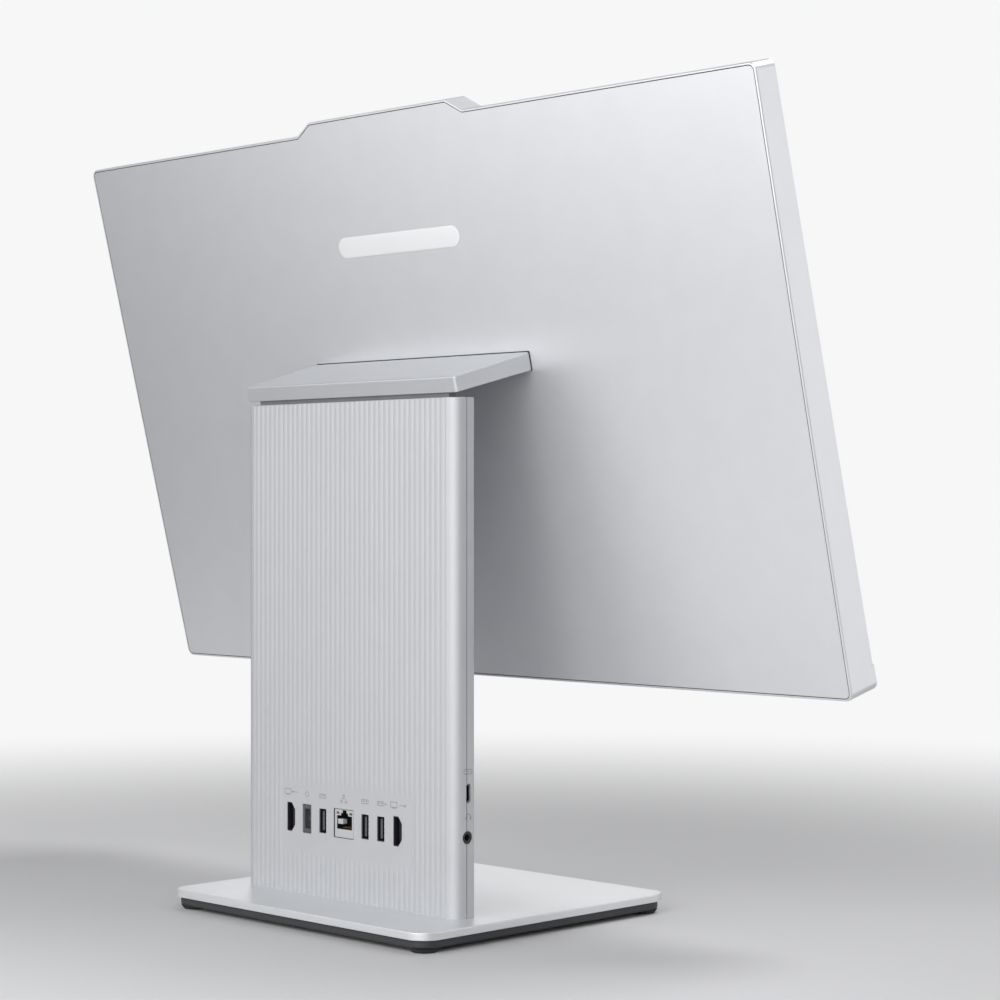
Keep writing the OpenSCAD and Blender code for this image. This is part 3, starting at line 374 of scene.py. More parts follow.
# Colour and roughness of each material, and what else differs from surface()'s own values
LOOKS = {
    "silver_shell": dict(colour=(0.77, 0.78, 0.805), roughness=0.40, metallic=0.6, grain=2600.0, tone=0.01),
    "column_shell": dict(colour=(0.53, 0.54, 0.56), roughness=0.60, metallic=0.5, grain=2600.0, tone=0.01),
    "foot_plate": dict(colour=(0.72, 0.73, 0.745), roughness=0.42, metallic=0.6, grain=2200.0, tone=0.01),
    "neck_metal": dict(colour=(0.585, 0.595, 0.615), roughness=0.38, metallic=0.5, grain=2600.0, bump=0.01,
                       tone=0.006, rough_spread=0.02),
    "dark_plastic": dict(colour=(0.036, 0.037, 0.041), roughness=0.52, grain=1500.0, bump=0.25, tone=0.05),
    "rubber_pads": dict(colour=(0.022, 0.022, 0.024), roughness=0.75, grain=900.0, bump=0.4, tone=0.1),
    "ballast_steel": dict(colour=(0.30, 0.31, 0.32), roughness=0.55, metallic=0.9, grain=700.0, bump=0.4,
                          tone=0.15),
    "steel_sheet": dict(colour=(0.56, 0.57, 0.58), roughness=0.36, metallic=0.95, grain=1200.0, bump=0.1,
                        stretch=(1, 1, 0.05), tone=0.05),
    "hinge_steel": dict(colour=(0.46, 0.46, 0.47), roughness=0.33, metallic=1.0, grain=1600.0, bump=0.1,
                        stretch=(0.1, 1, 1), tone=0.06),
    "screws": dict(colour=(0.60, 0.60, 0.61), roughness=0.30, metallic=1.0, grain=3000.0, bump=0.1,
                   tone=0.04),
    "port_black": dict(colour=(0.012, 0.012, 0.013), roughness=0.45, grain=3000.0, bump=0.1, tone=0.1),
    "port_grey": dict(colour=(0.075, 0.078, 0.082), roughness=0.5, grain=3000.0, bump=0.1, tone=0.06),
    "port_insert": dict(colour=(0.028, 0.029, 0.031), roughness=0.5, grain=3000.0, bump=0.1, tone=0.08),
    # seal: colour of the dark strip in the rear seam, which is painted shadow of the seam gap
    "seal": dict(colour=(0.045, 0.045, 0.048), roughness=0.8, grain=900.0, bump=0.1, tone=0.05),
    "neck_plastic": dict(colour=(0.20, 0.205, 0.215), roughness=0.42, grain=1500.0, bump=0.15, tone=0.04),
    "port_light": dict(colour=(0.44, 0.445, 0.455), roughness=0.45, grain=3000.0, bump=0.1, tone=0.03),
    "port_steel": dict(colour=(0.42, 0.42, 0.43), roughness=0.3, metallic=1.0, grain=2500.0, bump=0.1,
                       tone=0.05),
    "contacts": dict(colour=(0.80, 0.60, 0.28), roughness=0.3, metallic=1.0, grain=4000.0, tone=0.05),
    "ribbon": dict(colour=(0.03, 0.03, 0.034), roughness=0.5, grain=900.0, bump=0.4,
                   stretch=(1, 0.02, 0.02), tone=0.1),
    "badge": dict(colour=(0.90, 0.905, 0.91), roughness=0.30, metallic=0.3, grain=2600.0, bump=0.0,
                  tone=0.005, rough_spread=0.02),
    "panel_back": dict(colour=(0.28, 0.29, 0.30), roughness=0.4, metallic=0.8, grain=1500.0, bump=0.1,
                       tone=0.05),
    "screen": dict(colour=(0.006, 0.0065, 0.008), roughness=0.22, grain=4000.0, bump=0.04, tone=0.1,
                   rough_spread=0.03),
    "black_border": dict(colour=(0.010, 0.010, 0.011), roughness=0.4, grain=2500.0, bump=0.15, tone=0.1),
    "lens": dict(colour=(0.015, 0.017, 0.03), roughness=0.05, specular=0.8, coat=1.0, grain=3000.0,
                 bump=0.0, tone=0.2, rough_spread=0.02),
    "brass_parts": dict(colour=(0.72, 0.60, 0.33), roughness=0.32, metallic=1.0, grain=2500.0, bump=0.1,
                        tone=0.05),
    "copper": dict(colour=(0.80, 0.43, 0.28), roughness=0.30, metallic=1.0, grain=1300.0, bump=0.1,
                   stretch=(0.1, 1, 1), tone=0.07),
    "fins": dict(colour=(0.75, 0.76, 0.77), roughness=0.28, metallic=1.0, grain=1500.0, bump=0.08,
                 tone=0.03),
    "black_plastic": dict(colour=(0.020, 0.020, 0.022), roughness=0.45, grain=1800.0, bump=0.2, tone=0.1),
    "cell": dict(colour=(0.72, 0.72, 0.71), roughness=0.25, metallic=1.0, grain=2000.0, tone=0.03),
    "shutter_red": dict(colour=(0.42, 0.03, 0.025), roughness=0.45, grain=2500.0, bump=0.1, tone=0.05),
    "button_grey": dict(colour=(0.60, 0.61, 0.63), roughness=0.42, metallic=0.3, grain=2500.0, bump=0.08,
                        tone=0.02),
    "print_grey": dict(colour=(0.26, 0.265, 0.275), roughness=0.55, grain=3000.0, tone=0.05),
    "link_green": dict(colour=(0.05, 0.10, 0.05), roughness=0.3, grain=3000.0, tone=0.1),
    "link_amber": dict(colour=(0.13, 0.09, 0.04), roughness=0.3, grain=3000.0, tone=0.1),
}
MATERIALS = {name: surface(name, **look) for name, look in LOOKS.items()}
MATERIALS["circuit_board"] = circuit_material("circuit_board", mask=(0.012, 0.075, 0.045),
                                              trace=(0.05, 0.16, 0.09))

# ---------- CAD nodes that keep their shape ----------


def polish(node, width):
    """Welds a CAD node's split corners, rounds its edges a little and shades its flats flat."""
    piece = frame["nodes"][node]
    weld = piece.modifiers.new("weld", "WELD")
    weld.merge_threshold = 0.002 * MM
    edge = piece.modifiers.new("edge", "BEVEL")
    edge.width = width * MM
    edge.segments = 2
    edge.limit_method = "ANGLE"
    edge.angle_limit = math.radians(35)
    edge.use_clamp_overlap = True
    for polygon in piece.data.polygons:
        polygon.use_smooth = True
    normals = piece.modifiers.new("normals", "WEIGHTED_NORMAL")
    normals.keep_sharp = True


EDGE, FINE_EDGE = 0.2, 0.06
FINE_NODES = {"hinge_screws", "column_screws", "arm_screws", "foot_screws", "camera_lens", "microphones",
              "fin_stack", "fan_rotor", "hinge_washers", "column_harness", "head_harness", "antennas"}
for row in frame["record"]["subparts"]:
    look = MATERIALS[row["material_slot"]]
    owner = frame["nodes"][row["node"]]
    if not owner.material_slots:
        owner.data.materials.append(look)
    for place in owner.material_slots:
        place.material = look
    polish(row["node"], FINE_EDGE if row["node"] in FINE_NODES else EDGE)

# ---------- display head ----------

frame_low, frame_high = box_along("side_frame", HEAD)
HEAD_BASE = frame_low.z          # the head's bottom edge, along its own up axis
HEAD_BACK = frame_high.y         # the plane of its flat back


def head_ring(inset, depth):
    """The head's outline at an inset, at one depth from the flat back or at a depth for each height."""
    level = depth if callable(depth) else (lambda z: depth)
    return [Vector((p.x, HEAD_BACK + level(p.y), HEAD_BASE + p.y)) for p in head_outline(inset)]


def bezel_back(z):
    """Depth of the plane behind the black border, which leans with the screen."""
    return BEZEL_T - HEAD_BOTTOM_T + z * math.tan(WEDGE)


def lip_front(z):
    """Depth of the side frame's front: a thin lip round the border, and none behind the chin strip."""
    return bezel_back(z) + (LIP_Y - BEZEL_T if z > CHIN_TOP else 0.0)


SLOT_Y = -9.6                    # the slots' centre line, from the head's back towards the screen
SLOT_LOW, SLOT_HIGH = -1.0, 4.0  # the cut runs between these levels, through the frame's bottom
VENT_W, VENT_D, VENT_PITCH = 2.4, 8.0, 5.0
SPEAKER_W, SPEAKER_D, SPEAKER_PITCH = 1.6, 5.0, 4.0


def slot_shape(x, y, w, d):
    """A rounded slot through the bottom of the side frame."""
    outline = rect_outline(w, d, min(w, d) / 2 - 0.01, centre=(x, HEAD_BACK + y), steps=5)
    return prism(outline, HEAD_BASE + SLOT_LOW, HEAD_BASE + SLOT_HIGH, "XY")


def slot_row(centre, reach, pitch, w, d):
    """A row of slots, with as many on each side of its centre as reach says."""
    return [slot_shape(centre + i * pitch, SLOT_Y, w, d) for i in range(-reach, reach + 1)]


fan_low, fan_high = box_along("fan_rotor", HEAD)
FAN_X = (fan_low.x + fan_high.x) / 2
speaker_low, speaker_high = box_along("speaker_right", HEAD)
SPEAKER_X = (speaker_low.x + speaker_high.x) / 2


def make_side_frame():
    """The light frame round the head: rear rim, sides, front lip, and slots in the bottom."""
    rear_r, bevel = 0.8, 0.05
    rings = [head_ring(RIM, -COVER_T), head_ring(RIM, -0.12), head_ring(RIM - bevel, -0.03)]
    rings += [head_ring(inset, -drop) for inset, drop in quarter(rear_r, 5)]
    rings += [head_ring(0.0, lip_front), head_ring(LIP_T, lip_front), head_ring(LIP_T, bezel_back)]
    rings += [head_ring(FRAME_WALL, bezel_back), head_ring(FRAME_WALL, -COVER_T)]
    piece = mesh_object("side_frame_shell", loft(rings, loop=True), HEAD)
    slots = slot_row(0.0, 16, VENT_PITCH, VENT_W, VENT_D)
    slots += slot_row(FAN_X, 7, VENT_PITCH, VENT_W, VENT_D)
    for side in (-1, 1):
        slots += slot_row(side * SPEAKER_X, 5, SPEAKER_PITCH, SPEAKER_W, SPEAKER_D)
    button_flange, button_hole_d = 1.2, 4.4
    for node in ("power_button", "input_button"):
        low, high = box_along(node, HEAD)
        middle = (low + high) / 2
        hole_w = high.x - low.x - button_flange
        slots.append(slot_shape(middle.x, middle.y - HEAD_BACK, hole_w, button_hole_d))
    carve(piece, joined(slots), HEAD)
    finish_piece(piece, "display_head", MATERIALS["silver_shell"], ["side_frame"], 40)


def make_rear_cover():
    """The flat cover inset in the side frame, with a shallow pocket for the badge."""
    edge = 0.2
    inset = RIM + SEAM
    rings = [head_ring(inset, -COVER_T)]
    rings += [head_ring(inset + i, -d) for i, d in reversed(quarter(edge, 3))]
    piece = mesh_object("rear_cover_panel", loft(rings), HEAD)
    badge_low, badge_high = box_along("nameplate", HEAD)
    badge_mid = (badge_low + badge_high) / 2
    w, h = BADGE_W + 2 * BADGE_GAP, BADGE_H + 2 * BADGE_GAP
    pocket = rect_outline(w, h, h / 2 - 0.01, centre=(0, badge_mid.z), steps=16)
    carve(piece, prism(pocket, HEAD_BACK - BADGE_POCKET, HEAD_BACK + 2), HEAD)
    finish_piece(piece, "display_head", MATERIALS["silver_shell"], ["rear_cover"])


def make_nameplate():
    """A blank pill-shaped badge with a slightly domed face."""
    low, high = box_along("nameplate", HEAD)
    middle = (low + high) / 2
    w, h = high.x - low.x, high.z - low.z

    def ring(inset, y):
        outline = rect_outline(w, h, h / 2 - 0.01, inset, (middle.x, middle.z), 16)
        return [Vector((p.x, y, p.y)) for p in outline]

    edge = 0.3
    rings = [ring(0, low.y), ring(0, high.y - edge)]
    rings += [ring(i, high.y - d) for i, d in reversed(quarter(edge, 3))]
    rings += [ring(1.6, high.y + 0.03), ring(3.4, high.y + 0.05)]
    piece = mesh_object("blank_badge", loft(rings), HEAD)
    finish_piece(piece, "display_head", MATERIALS["badge"], ["nameplate"])


def make_rear_seam_painted_shadow():
    """A thin dark strip in the seam between the rear cover and the side frame, painted shadow of the seam gap."""
    outer, inner, top, bottom = RIM + 0.01, RIM + SEAM - 0.01, -0.16, -0.9
    # The dark strip is painted shadow of the seam gap, not a real seal.
    rings = [head_ring(outer, bottom), head_ring(outer, top), head_ring(inner, top), head_ring(inner, bottom)]
    piece = mesh_object("rear_seam_painted_shadow", loft(rings, loop=True), HEAD)
    finish_piece(piece, "display_head", MATERIALS["seal"])


make_side_frame()
make_rear_cover()
make_rear_seam_painted_shadow()
make_nameplate()

# ---------- neck ----------


def make_neck_cover():
    """The metal cover over the hinge, narrower and lower at its rear edge, and its gasket on the head."""
    low, high = box_along("neck_cover", HEAD)
    front_w, rear_w = high.x - low.x, high.x - low.x - NECK_TAPER
    gap, wall, edge, chamfer = 0.5, 1.6, 1.1, 1.0
    y0, y1 = HEAD_BACK + gap, high.y

    def ring(inset, drop, flat=None):
        side = [(front_w / 2, y0), (rear_w / 2, y1 - chamfer), (rear_w / 2 - chamfer, y1)]
        corners = side + [(-x, y) for x, y in reversed(side)]
        shifted = offset_outline([Vector(c) for c in corners], inset)
        outline = fillet_outline(shifted, [0.2, 0.15, 0.15, 0.15, 0.15, 0.2], 3)
        slope = NECK_DROP / (y1 - y0)
        levels = [high.z - drop - (p.y - y0) * slope if flat is None else flat for p in outline]
        return [Vector((p.x, p.y, z)) for p, z in zip(outline, levels)]

    rings = [ring(wall, wall), ring(wall, 0, low.z), ring(0.25, 0, low.z), ring(0, 0, low.z + 0.25)]
    rings += [ring(i, d) for i, d in reversed(quarter(edge, 5))]
    piece = mesh_object("neck_cover_shell", loft(rings), HEAD)
    finish_piece(piece, "display_head", MATERIALS["neck_metal"], ["neck_cover"])

    def gasket_ring(inset, y):
        outline = rect_outline(front_w, high.z - low.z, 0.3, inset, (0, (high.z + low.z) / 2), 3)
        return [Vector((p.x, y, p.y)) for p in outline]

    near, far, outer, inner = HEAD_BACK + 0.02, y0 - 0.02, -0.3, 1.8
    places = [(outer, near), (outer, far), (inner, far), (inner, near)]
    rings = [gasket_ring(inset, y) for inset, y in places]
    piece = mesh_object("neck_gasket", loft(rings, loop=True), HEAD)
    finish_piece(piece, "display_head", MATERIALS["rubber_pads"])


make_neck_cover()

# ---------- column ----------

column_low, column_high = box_along("column_rear_cover", WORLD)
COLUMN_W = column_high.x - column_low.x
BACK_Y = column_high.y
VALLEY_Y = BACK_Y - RIB_H


def smoothstep(a, b, x):
    """A soft step from 0 at a to 1 at b."""
    t = min(max((x - a) / (b - a), 0.0), 1.0)
    return t * t * (3 - 2 * t)


def field_mask(x, z):
    """1 on the ribs, 0 in the smooth field round the sockets, with soft ends."""
    above_low = smoothstep(FIELD_LOW - FADE_BELOW, FIELD_LOW, z)
    inside_z = above_low * (1 - smoothstep(FIELD_HIGH, FIELD_HIGH + FADE_ABOVE, z))
    inside_x = 1 - smoothstep(FIELD_W / 2 - 1, FIELD_W / 2 + 4, abs(x))
    return 1 - inside_z * inside_x


def column_path():
    """The rear cover's plan from one seam to the other: point, outward normal, and whether it is ribbed."""
    path = []
    x_side = COLUMN_W / 2
    x_arc = x_side - COLUMN_R
    y_arc = VALLEY_Y - COLUMN_R
    arc_steps = 10
    path.append((Vector((-x_side, COVER_EDGE_Y)), Vector((-1, 0)), False))
    for k in range(arc_steps + 1):
        a = math.pi - math.pi / 2 * k / arc_steps
        normal = Vector((math.cos(a), math.sin(a)))
        path.append((Vector((-x_arc, y_arc)) + normal * COLUMN_R, normal, False))
    points_per_rib = 8
    count = RIB_COUNT * points_per_rib
    ribs_w = RIB_COUNT * RIB_PITCH
    flat = [-ribs_w / 2 + ribs_w * k / count for k in range(count + 1)]
    path += [(Vector((x, VALLEY_Y)), Vector((0, 1)), True) for x in flat if abs(x) < x_arc - 0.2]
    mirrored = [(Vector((-p.x, p.y)), Vector((-n.x, n.y)), ribbed) for p, n, ribbed in path[:arc_steps + 2]]
    return path + mirrored[::-1]


def rib_height(x, z):
    """Height of the ribs above the valleys at a place on the back."""
    across = ((x / RIB_PITCH + 0.5) % 1.0 - 0.5) * 2
    ends = 1 - smoothstep(COLUMN_W / 2 - COLUMN_R - 0.8, COLUMN_W / 2 - COLUMN_R, abs(x))
    return RIB_H * (1 - across * across) * field_mask(x, z) * ends


def column_rows():
    """Height and inset of the mesh rows: close together where the ribs fade, and a round top edge."""
    edge = 0.6
    heights = [column_low.z]
    heights += [FIELD_LOW - FADE_BELOW - 1 + k for k in range(FADE_BELOW + 2)]
    heights += [FIELD_HIGH - 1 + k for k in range(FADE_ABOVE + 3)]
    heights += [column_high.z - edge]
    rounded = [(column_high.z - d, i) for i, d in reversed(quarter(edge, 4))]
    return [(z, 0.0) for z in heights] + rounded[1:]


def make_column_rear_cover():
    """The ribbed cover that wraps round both rear corners, with openings for the sockets."""
    path = column_path()
    rings = []
    for z, inset in column_rows():
        ring = []
        for p, normal, ribbed in path:
            rise = rib_height(p.x, z) if ribbed else 0.0
            q = p + normal * (rise - inset)
            ring.append(Vector((q.x, q.y, z)))
        for p, normal, _ in path[::-1]:
            q = p - normal * COLUMN_WALL
            ring.append(Vector((q.x, q.y, z)))
        rings.append(ring)
    piece = mesh_object("column_rear_shell", loft(rings))
    carve(piece, joined(port_holes()))
    finish_piece(piece, "stand", MATERIALS["column_shell"], ["column_rear_cover"], 30)


# ---------- sockets ----------

PORTS = {
    "hdmi_in_port": "hdmi", "power_inlet": "power", "usb_port_left": "usb", "ethernet_port": "lan",
    "usb_port_middle": "usb", "usb_port_right": "usb", "hdmi_out_port": "hdmi",
}
PORT_CLEARANCE = {"hdmi": 0.5, "power": 0.1, "usb": 0.1, "lan": 0.3}
USB_C_W, USB_C_H, JACK_R = 3.7, 10.4, 3.5    # openings in the column's edge
JACK_CENTRE = Vector(named(frame["record"]["mounts"], "audio_socket")["pos_m"][1:]) / MM


def hdmi_outline(w, h, centre):
    """D-shaped outline of a display socket on its end, narrow side towards -X."""
    chamfer = w * 0.42
    rise = chamfer * 1.3
    corners = [
        (w / 2, -h / 2), (w / 2, h / 2), (chamfer - w / 2, h / 2), (-w / 2, h / 2 - rise),
        (-w / 2, rise - h / 2), (chamfer - w / 2, -h / 2),
    ]
    return fillet_outline([Vector(c) + Vector(centre) for c in corners], [0.3] * 6, 3)


def port_holes():
    """Solids that open the rear cover for every socket."""
    holes = []
    for node, kind in PORTS.items():
        low, high = box_along(node, WORLD)
        middle = (low + high) / 2
        clear = PORT_CLEARANCE[kind]
        w, h = high.x - low.x + 2 * clear, high.z - low.z + 2 * clear
        if kind == "hdmi":
            outline = hdmi_outline(w, h, (middle.x, middle.z))
        else:
            outline = rect_outline(w, h, 0.45, centre=(middle.x, middle.z), steps=4)
        holes.append(prism(outline, BACK_Y - 5, BACK_Y + 3))
    low, high = box_along("usb_c_port", WORLD)
    middle = (low + high) / 2
    slot = rect_outline(USB_C_W, USB_C_H, USB_C_W / 2 - 0.01, centre=(middle.y, middle.z), steps=8)
    for outline in (slot, circle_outline(JACK_CENTRE, JACK_R)):
        holes.append(prism(outline, column_low.x - 2, column_low.x + 3, "YZ"))
    return holes


def block(low, high):
    """A box between two corners."""
    outline = [(low[0], low[2]), (high[0], low[2]), (high[0], high[2]), (low[0], high[2])]
    return prism(outline, low[1], high[1])


LINING_DEPTH, LINING_T = 8.0, 0.15


def network_mouth(inset):
    """The stepped mouth of the network socket, seen from behind the machine, about the socket's centre."""
    right = [(6.3, -3.2), (6.3, 4.4), (3.0, 4.4), (3.0, 5.8), (1.7, 5.8), (1.7, 7.4)]
    corners = right + [(-x, z) for x, z in reversed(right)]
    return offset_outline([Vector(c) for c in corners], inset)


def make_liners():
    """Dark linings in the network and power sockets, and the power socket's two dark slots."""
    low, high = box_along("ethernet_port", WORLD)
    middle = (low + high) / 2

    def ring(inset, depth):
        return [Vector((middle.x + p.x, high.y - depth, middle.z + p.y)) for p in network_mouth(inset)]

    outer, mouth = 0.02, 0.25
    inner = outer + LINING_T
    rings = [ring(outer, mouth), ring(inner, mouth), ring(inner, LINING_DEPTH), ring(outer, LINING_DEPTH)]
    lining = loft(rings, loop=True)
    outline = [(p.x, p.z) for p in ring(0.05, LINING_DEPTH)]
    back = prism(outline, high.y - LINING_DEPTH - 0.2, high.y - LINING_DEPTH)
    piece = mesh_object("network_socket_lining", joined([lining, back]))
    finish_piece(piece, "stand", MATERIALS["port_black"])

    low, high = box_along("power_inlet", WORLD)
    middle = (low + high) / 2
    insert = rect_outline(4.6, 11.1, 0.5, centre=(middle.x, middle.z), steps=4)
    slots = []
    for side in (-1, 1):
        outline = rect_outline(2.6, 3.6, 0.5, centre=(middle.x, middle.z + side * 3.4), steps=4)
        slots.append(prism(outline, high.y - 2.6, high.y - 0.9))
    piece = mesh_object("power_socket_insert", prism(insert, high.y - 3.2, high.y - 1.9))
    finish_piece(piece, "stand", MATERIALS["port_insert"])
    piece = mesh_object("power_socket_slots", joined(slots))
    finish_piece(piece, "stand", MATERIALS["port_black"])


def collar(outer, inner, back, front):
    """A ring between two outlines of equal length in X and Z."""
    rings = [(outer, back), (outer, front), (inner, front), (inner, back)]
    return loft([[Vector((p[0], y, p[1])) for p in outline] for outline, y in rings], loop=True)


def make_socket_trims():
    """Black collars round the display and network sockets, and grey ends on the serial sockets' tongues."""
    collars, tongues = [], []
    back, front, play = VALLEY_Y - 1.4, VALLEY_Y - 0.12, 0.02
    for node, kind in PORTS.items():
        low, high = box_along(node, WORLD)
        middle = (low + high) / 2
        centre = (middle.x, middle.z)
        gap = PORT_CLEARANCE[kind] - play
        outer_w, outer_h = high.x - low.x + 2 * gap, high.z - low.z + 2 * gap
        inner_w, inner_h = high.x - low.x + 2 * play, high.z - low.z + 2 * play
        if kind == "hdmi":
            outer = hdmi_outline(outer_w, outer_h, centre)
            inner = hdmi_outline(inner_w, inner_h, centre)
            collars.append(collar(outer, inner, back, front))
        elif kind == "lan":
            outer = rect_outline(outer_w, outer_h, 0.43, centre=centre, steps=4)
            inner = rect_outline(inner_w, inner_h, 0.2, centre=centre, steps=4)
            collars.append(collar(outer, inner, back, front))
        elif kind == "usb":
            tongues.append(block((middle.x - 0.25, high.y - 1.55, middle.z - 5.3),
                                 (middle.x + 1.45, high.y - 0.75, middle.z + 5.3)))
    piece = mesh_object("socket_collars", joined(collars))
    finish_piece(piece, "stand", MATERIALS["port_black"])
    piece = mesh_object("serial_socket_tongue_ends", joined(tongues))
    finish_piece(piece, "stand", MATERIALS["port_grey"])


CONTACT_BACK, CONTACT_FRONT = 7.0, 1.6    # how deep behind a socket's mouth its contacts start and end


def contacts_of(kind, x, z, mouth):
    """Gold contacts on the tongue of a socket; the network socket has eight wires instead."""
    if kind == "lan":
        wires = [x + (k - 3.5) * 1.02 for k in range(8)]
        return [block((w - 0.2, mouth - 8, z - 2.6), (w + 0.2, mouth - 2.5, z - 2.2)) for w in wires]
    if kind == "usb":
        levels, half_h, faces = [z + k * 2.5 for k in (-1.5, -0.5, 0.5, 1.5)], 0.5, [(-0.36, -0.29)]
    elif kind == "hdmi":
        levels, half_h, faces = [z + k for k in range(-4, 5)], 0.22, [(-0.46, -0.39), (0.39, 0.46)]
    else:
        return []
    back, front = mouth - CONTACT_BACK, mouth - CONTACT_FRONT
    return [block((x + left, back, level - half_h), (x + right, front, level + half_h))
            for level in levels for left, right in faces]


def make_contacts():
    """The sockets' contacts and the network socket's two link lights."""
    for node, kind in PORTS.items():
        low, high = box_along(node, WORLD)
        strips = contacts_of(kind, (low.x + high.x) / 2, (low.z + high.z) / 2, high.y)
        if strips:
            piece = mesh_object(node + "_contacts", joined(strips))
            finish_piece(piece, "stand", MATERIALS["contacts"])
    low, high = box_along("ethernet_port", WORLD)
    x, z = (low.x + high.x) / 2, (low.z + high.z) / 2
    for side, name, look in ((-1, "right", "link_green"), (1, "left", "link_amber")):
        outline = rect_outline(2.2, 1.3, 0.3, centre=(x + side * 5.4, z + 5.7), steps=3)
        piece = mesh_object("link_light_" + name, prism(outline, high.y - 0.6, high.y + 0.12))
        finish_piece(piece, "stand", MATERIALS[look])


# ---------- pictograms ----------

LINE = 0.34                      # width of a drawn line


def bar(x0, y0, x1, y1):
    """A straight rectangle between two corners."""
    return [Vector((x0, y0)), Vector((x1, y0)), Vector((x1, y1)), Vector((x0, y1))]


def outline_bars(w, h):
    """Four bars that make the outline of a rectangle."""
    x, y, t = w / 2, h / 2, LINE
    flat = [bar(-x, -y, x, -y + t), bar(-x, y - t, x, y)]
    return flat + [bar(-x, -y + t, -x + t, y - t), bar(x - t, -y + t, x, y - t)]


def arc_bars(radius, t, start, end, steps=10):
    """Short four-sided pieces along an arc between two angles in degrees; from radius 0 they fill a disc."""
    angles = [math.radians(start + (end - start) * k / steps) for k in range(steps + 1)]
    pieces = []
    for a, b in zip(angles, angles[1:]):
        spokes = [(radius, a), (radius + t, a), (radius + t, b), (radius, b)]
        pieces.append([Vector((r * math.cos(c), r * math.sin(c))) for r, c in spokes])
    return pieces


def moved(shapes, dx, dy):
    """Shapes shifted across and up."""
    return [[p + Vector((dx, dy)) for p in shape] for shape in shapes]


def scaled(shapes, x_scale, y_scale):
    """Shapes stretched, or mirrored by a negative scale."""
    return [[Vector((p.x * x_scale, p.y * y_scale)) for p in shape] for shape in shapes]


def arrow(direction):
    """A short arrow along X, to the right for 1 and to the left for -1."""
    head = [(1.6, -0.9), (2.6, 0), (1.6, 0.9), (1.5, 0)]
    return [bar(-1.6, -LINE / 2, 1.6, LINE / 2), [Vector((x * direction, y)) for x, y in head]]


MONITOR = moved(outline_bars(4.4, 2.6), -2.4, 0.3) + [bar(-3.6, -1.4, -1.2, -1.4 + LINE)]
SERIAL = outline_bars(4.6, 2.0) + [bar(-1.4, -0.2, -0.5, 0.5), bar(0.5, -0.2, 1.4, 0.5)]
NETWORK_BOX = outline_bars(1.6, 1.2)
ICONS = {
    "display_in": MONITOR + moved(arrow(-1), 2.9, 0.3),
    "display_out": MONITOR + moved(arrow(1), 2.9, 0.3),
    "power": arc_bars(1.0, LINE, 120, 420) + [bar(-LINE / 2, 0.5, LINE / 2, 1.7)],
    "serial": SERIAL,
    "serial_fast": SERIAL + moved(arc_bars(0.0, 0.5, 0, 360), 3.4, 0),
    "network": moved(NETWORK_BOX, 0, 1.3) + moved(NETWORK_BOX, -1.5, -1.3) + moved(NETWORK_BOX, 1.5, -1.3)
    + [bar(-1.6, -0.15, 1.6, 0.15), bar(-0.15, 0.15, 0.15, 0.7)],
    "slot": moved(arc_bars(0.8, LINE, 90, 270), -1.4, 0) + moved(arc_bars(0.8, LINE, -90, 90), 1.4, 0)
    + [bar(-1.4, 0.8, 1.4, 0.8 + LINE), bar(-1.4, -0.8 - LINE, 1.4, -0.8), bar(-1.0, -0.18, 1.0, 0.18)],
    "headset": arc_bars(1.2, LINE, 0, 180) + [bar(-1.7, -1.2, -0.9, 0.1), bar(0.9, -1.2, 1.7, 0.1)],
}
REAR_PRINTS = {
    "hdmi_in_port": "display_in", "power_inlet": "power", "usb_port_left": "serial",
    "ethernet_port": "network", "usb_port_middle": "serial", "usb_port_right": "serial_fast",
    "hdmi_out_port": "display_out",
}
EDGE_PRINTS = {"usb_c_port": ("slot", 45.3, 88.9), "audio_jack": ("headset", 45.1, 64.9)}
PRINT_SCALE = 1.25
INK, INK_GAP = 0.03, 0.005       # how far the print's face and its back stand off the surface


def make_icons():
    """Plain pictograms printed over the sockets."""
    for node, icon in REAR_PRINTS.items():
        low, high = box_along(node, WORLD)
        shapes = moved(scaled(ICONS[icon], -PRINT_SCALE, PRINT_SCALE), (low.x + high.x) / 2, PRINT_Z)
        prints = [prism(s, VALLEY_Y + INK_GAP, VALLEY_Y + INK) for s in shapes]
        piece = mesh_object("print_" + node, joined(prints))
        finish_piece(piece, "stand", MATERIALS["print_grey"])
    for node, (icon, y, z) in EDGE_PRINTS.items():
        shapes = moved(scaled(ICONS[icon], PRINT_SCALE, PRINT_SCALE), y, z)
        prints = [prism(s, column_low.x - INK, column_low.x - INK_GAP, "YZ") for s in shapes]
        piece = mesh_object("print_" + node, joined(prints))
        finish_piece(piece, "stand", MATERIALS["print_grey"])


make_column_rear_cover()
make_liners()
make_socket_trims()
make_contacts()
make_icons()

# ---------- foot ----------


def foot_ring(node, inset, z, r):
    """A level outline round one of the foot's plates."""
    low, high = box_along(node, WORLD)
    outline = rect_outline(high.x - low.x, high.y - low.y, r, inset, steps=16)
    return [Vector((p.x, p.y, z)) for p in outline]


def make_foot_plate():
    """The light top plate with its rounded edges."""
    low, high = box_along("foot_plate", WORLD)
    rings = [foot_ring("foot_plate", i, low.z + d, FOOT_R) for i, d in quarter(0.35, 3)]
    rings += [foot_ring("foot_plate", i, high.z - d, FOOT_R) for i, d in reversed(quarter(0.6, 4))]
    piece = mesh_object("foot_plate_top", loft(rings))
    finish_piece(piece, "stand", MATERIALS["foot_plate"], ["foot_plate"])


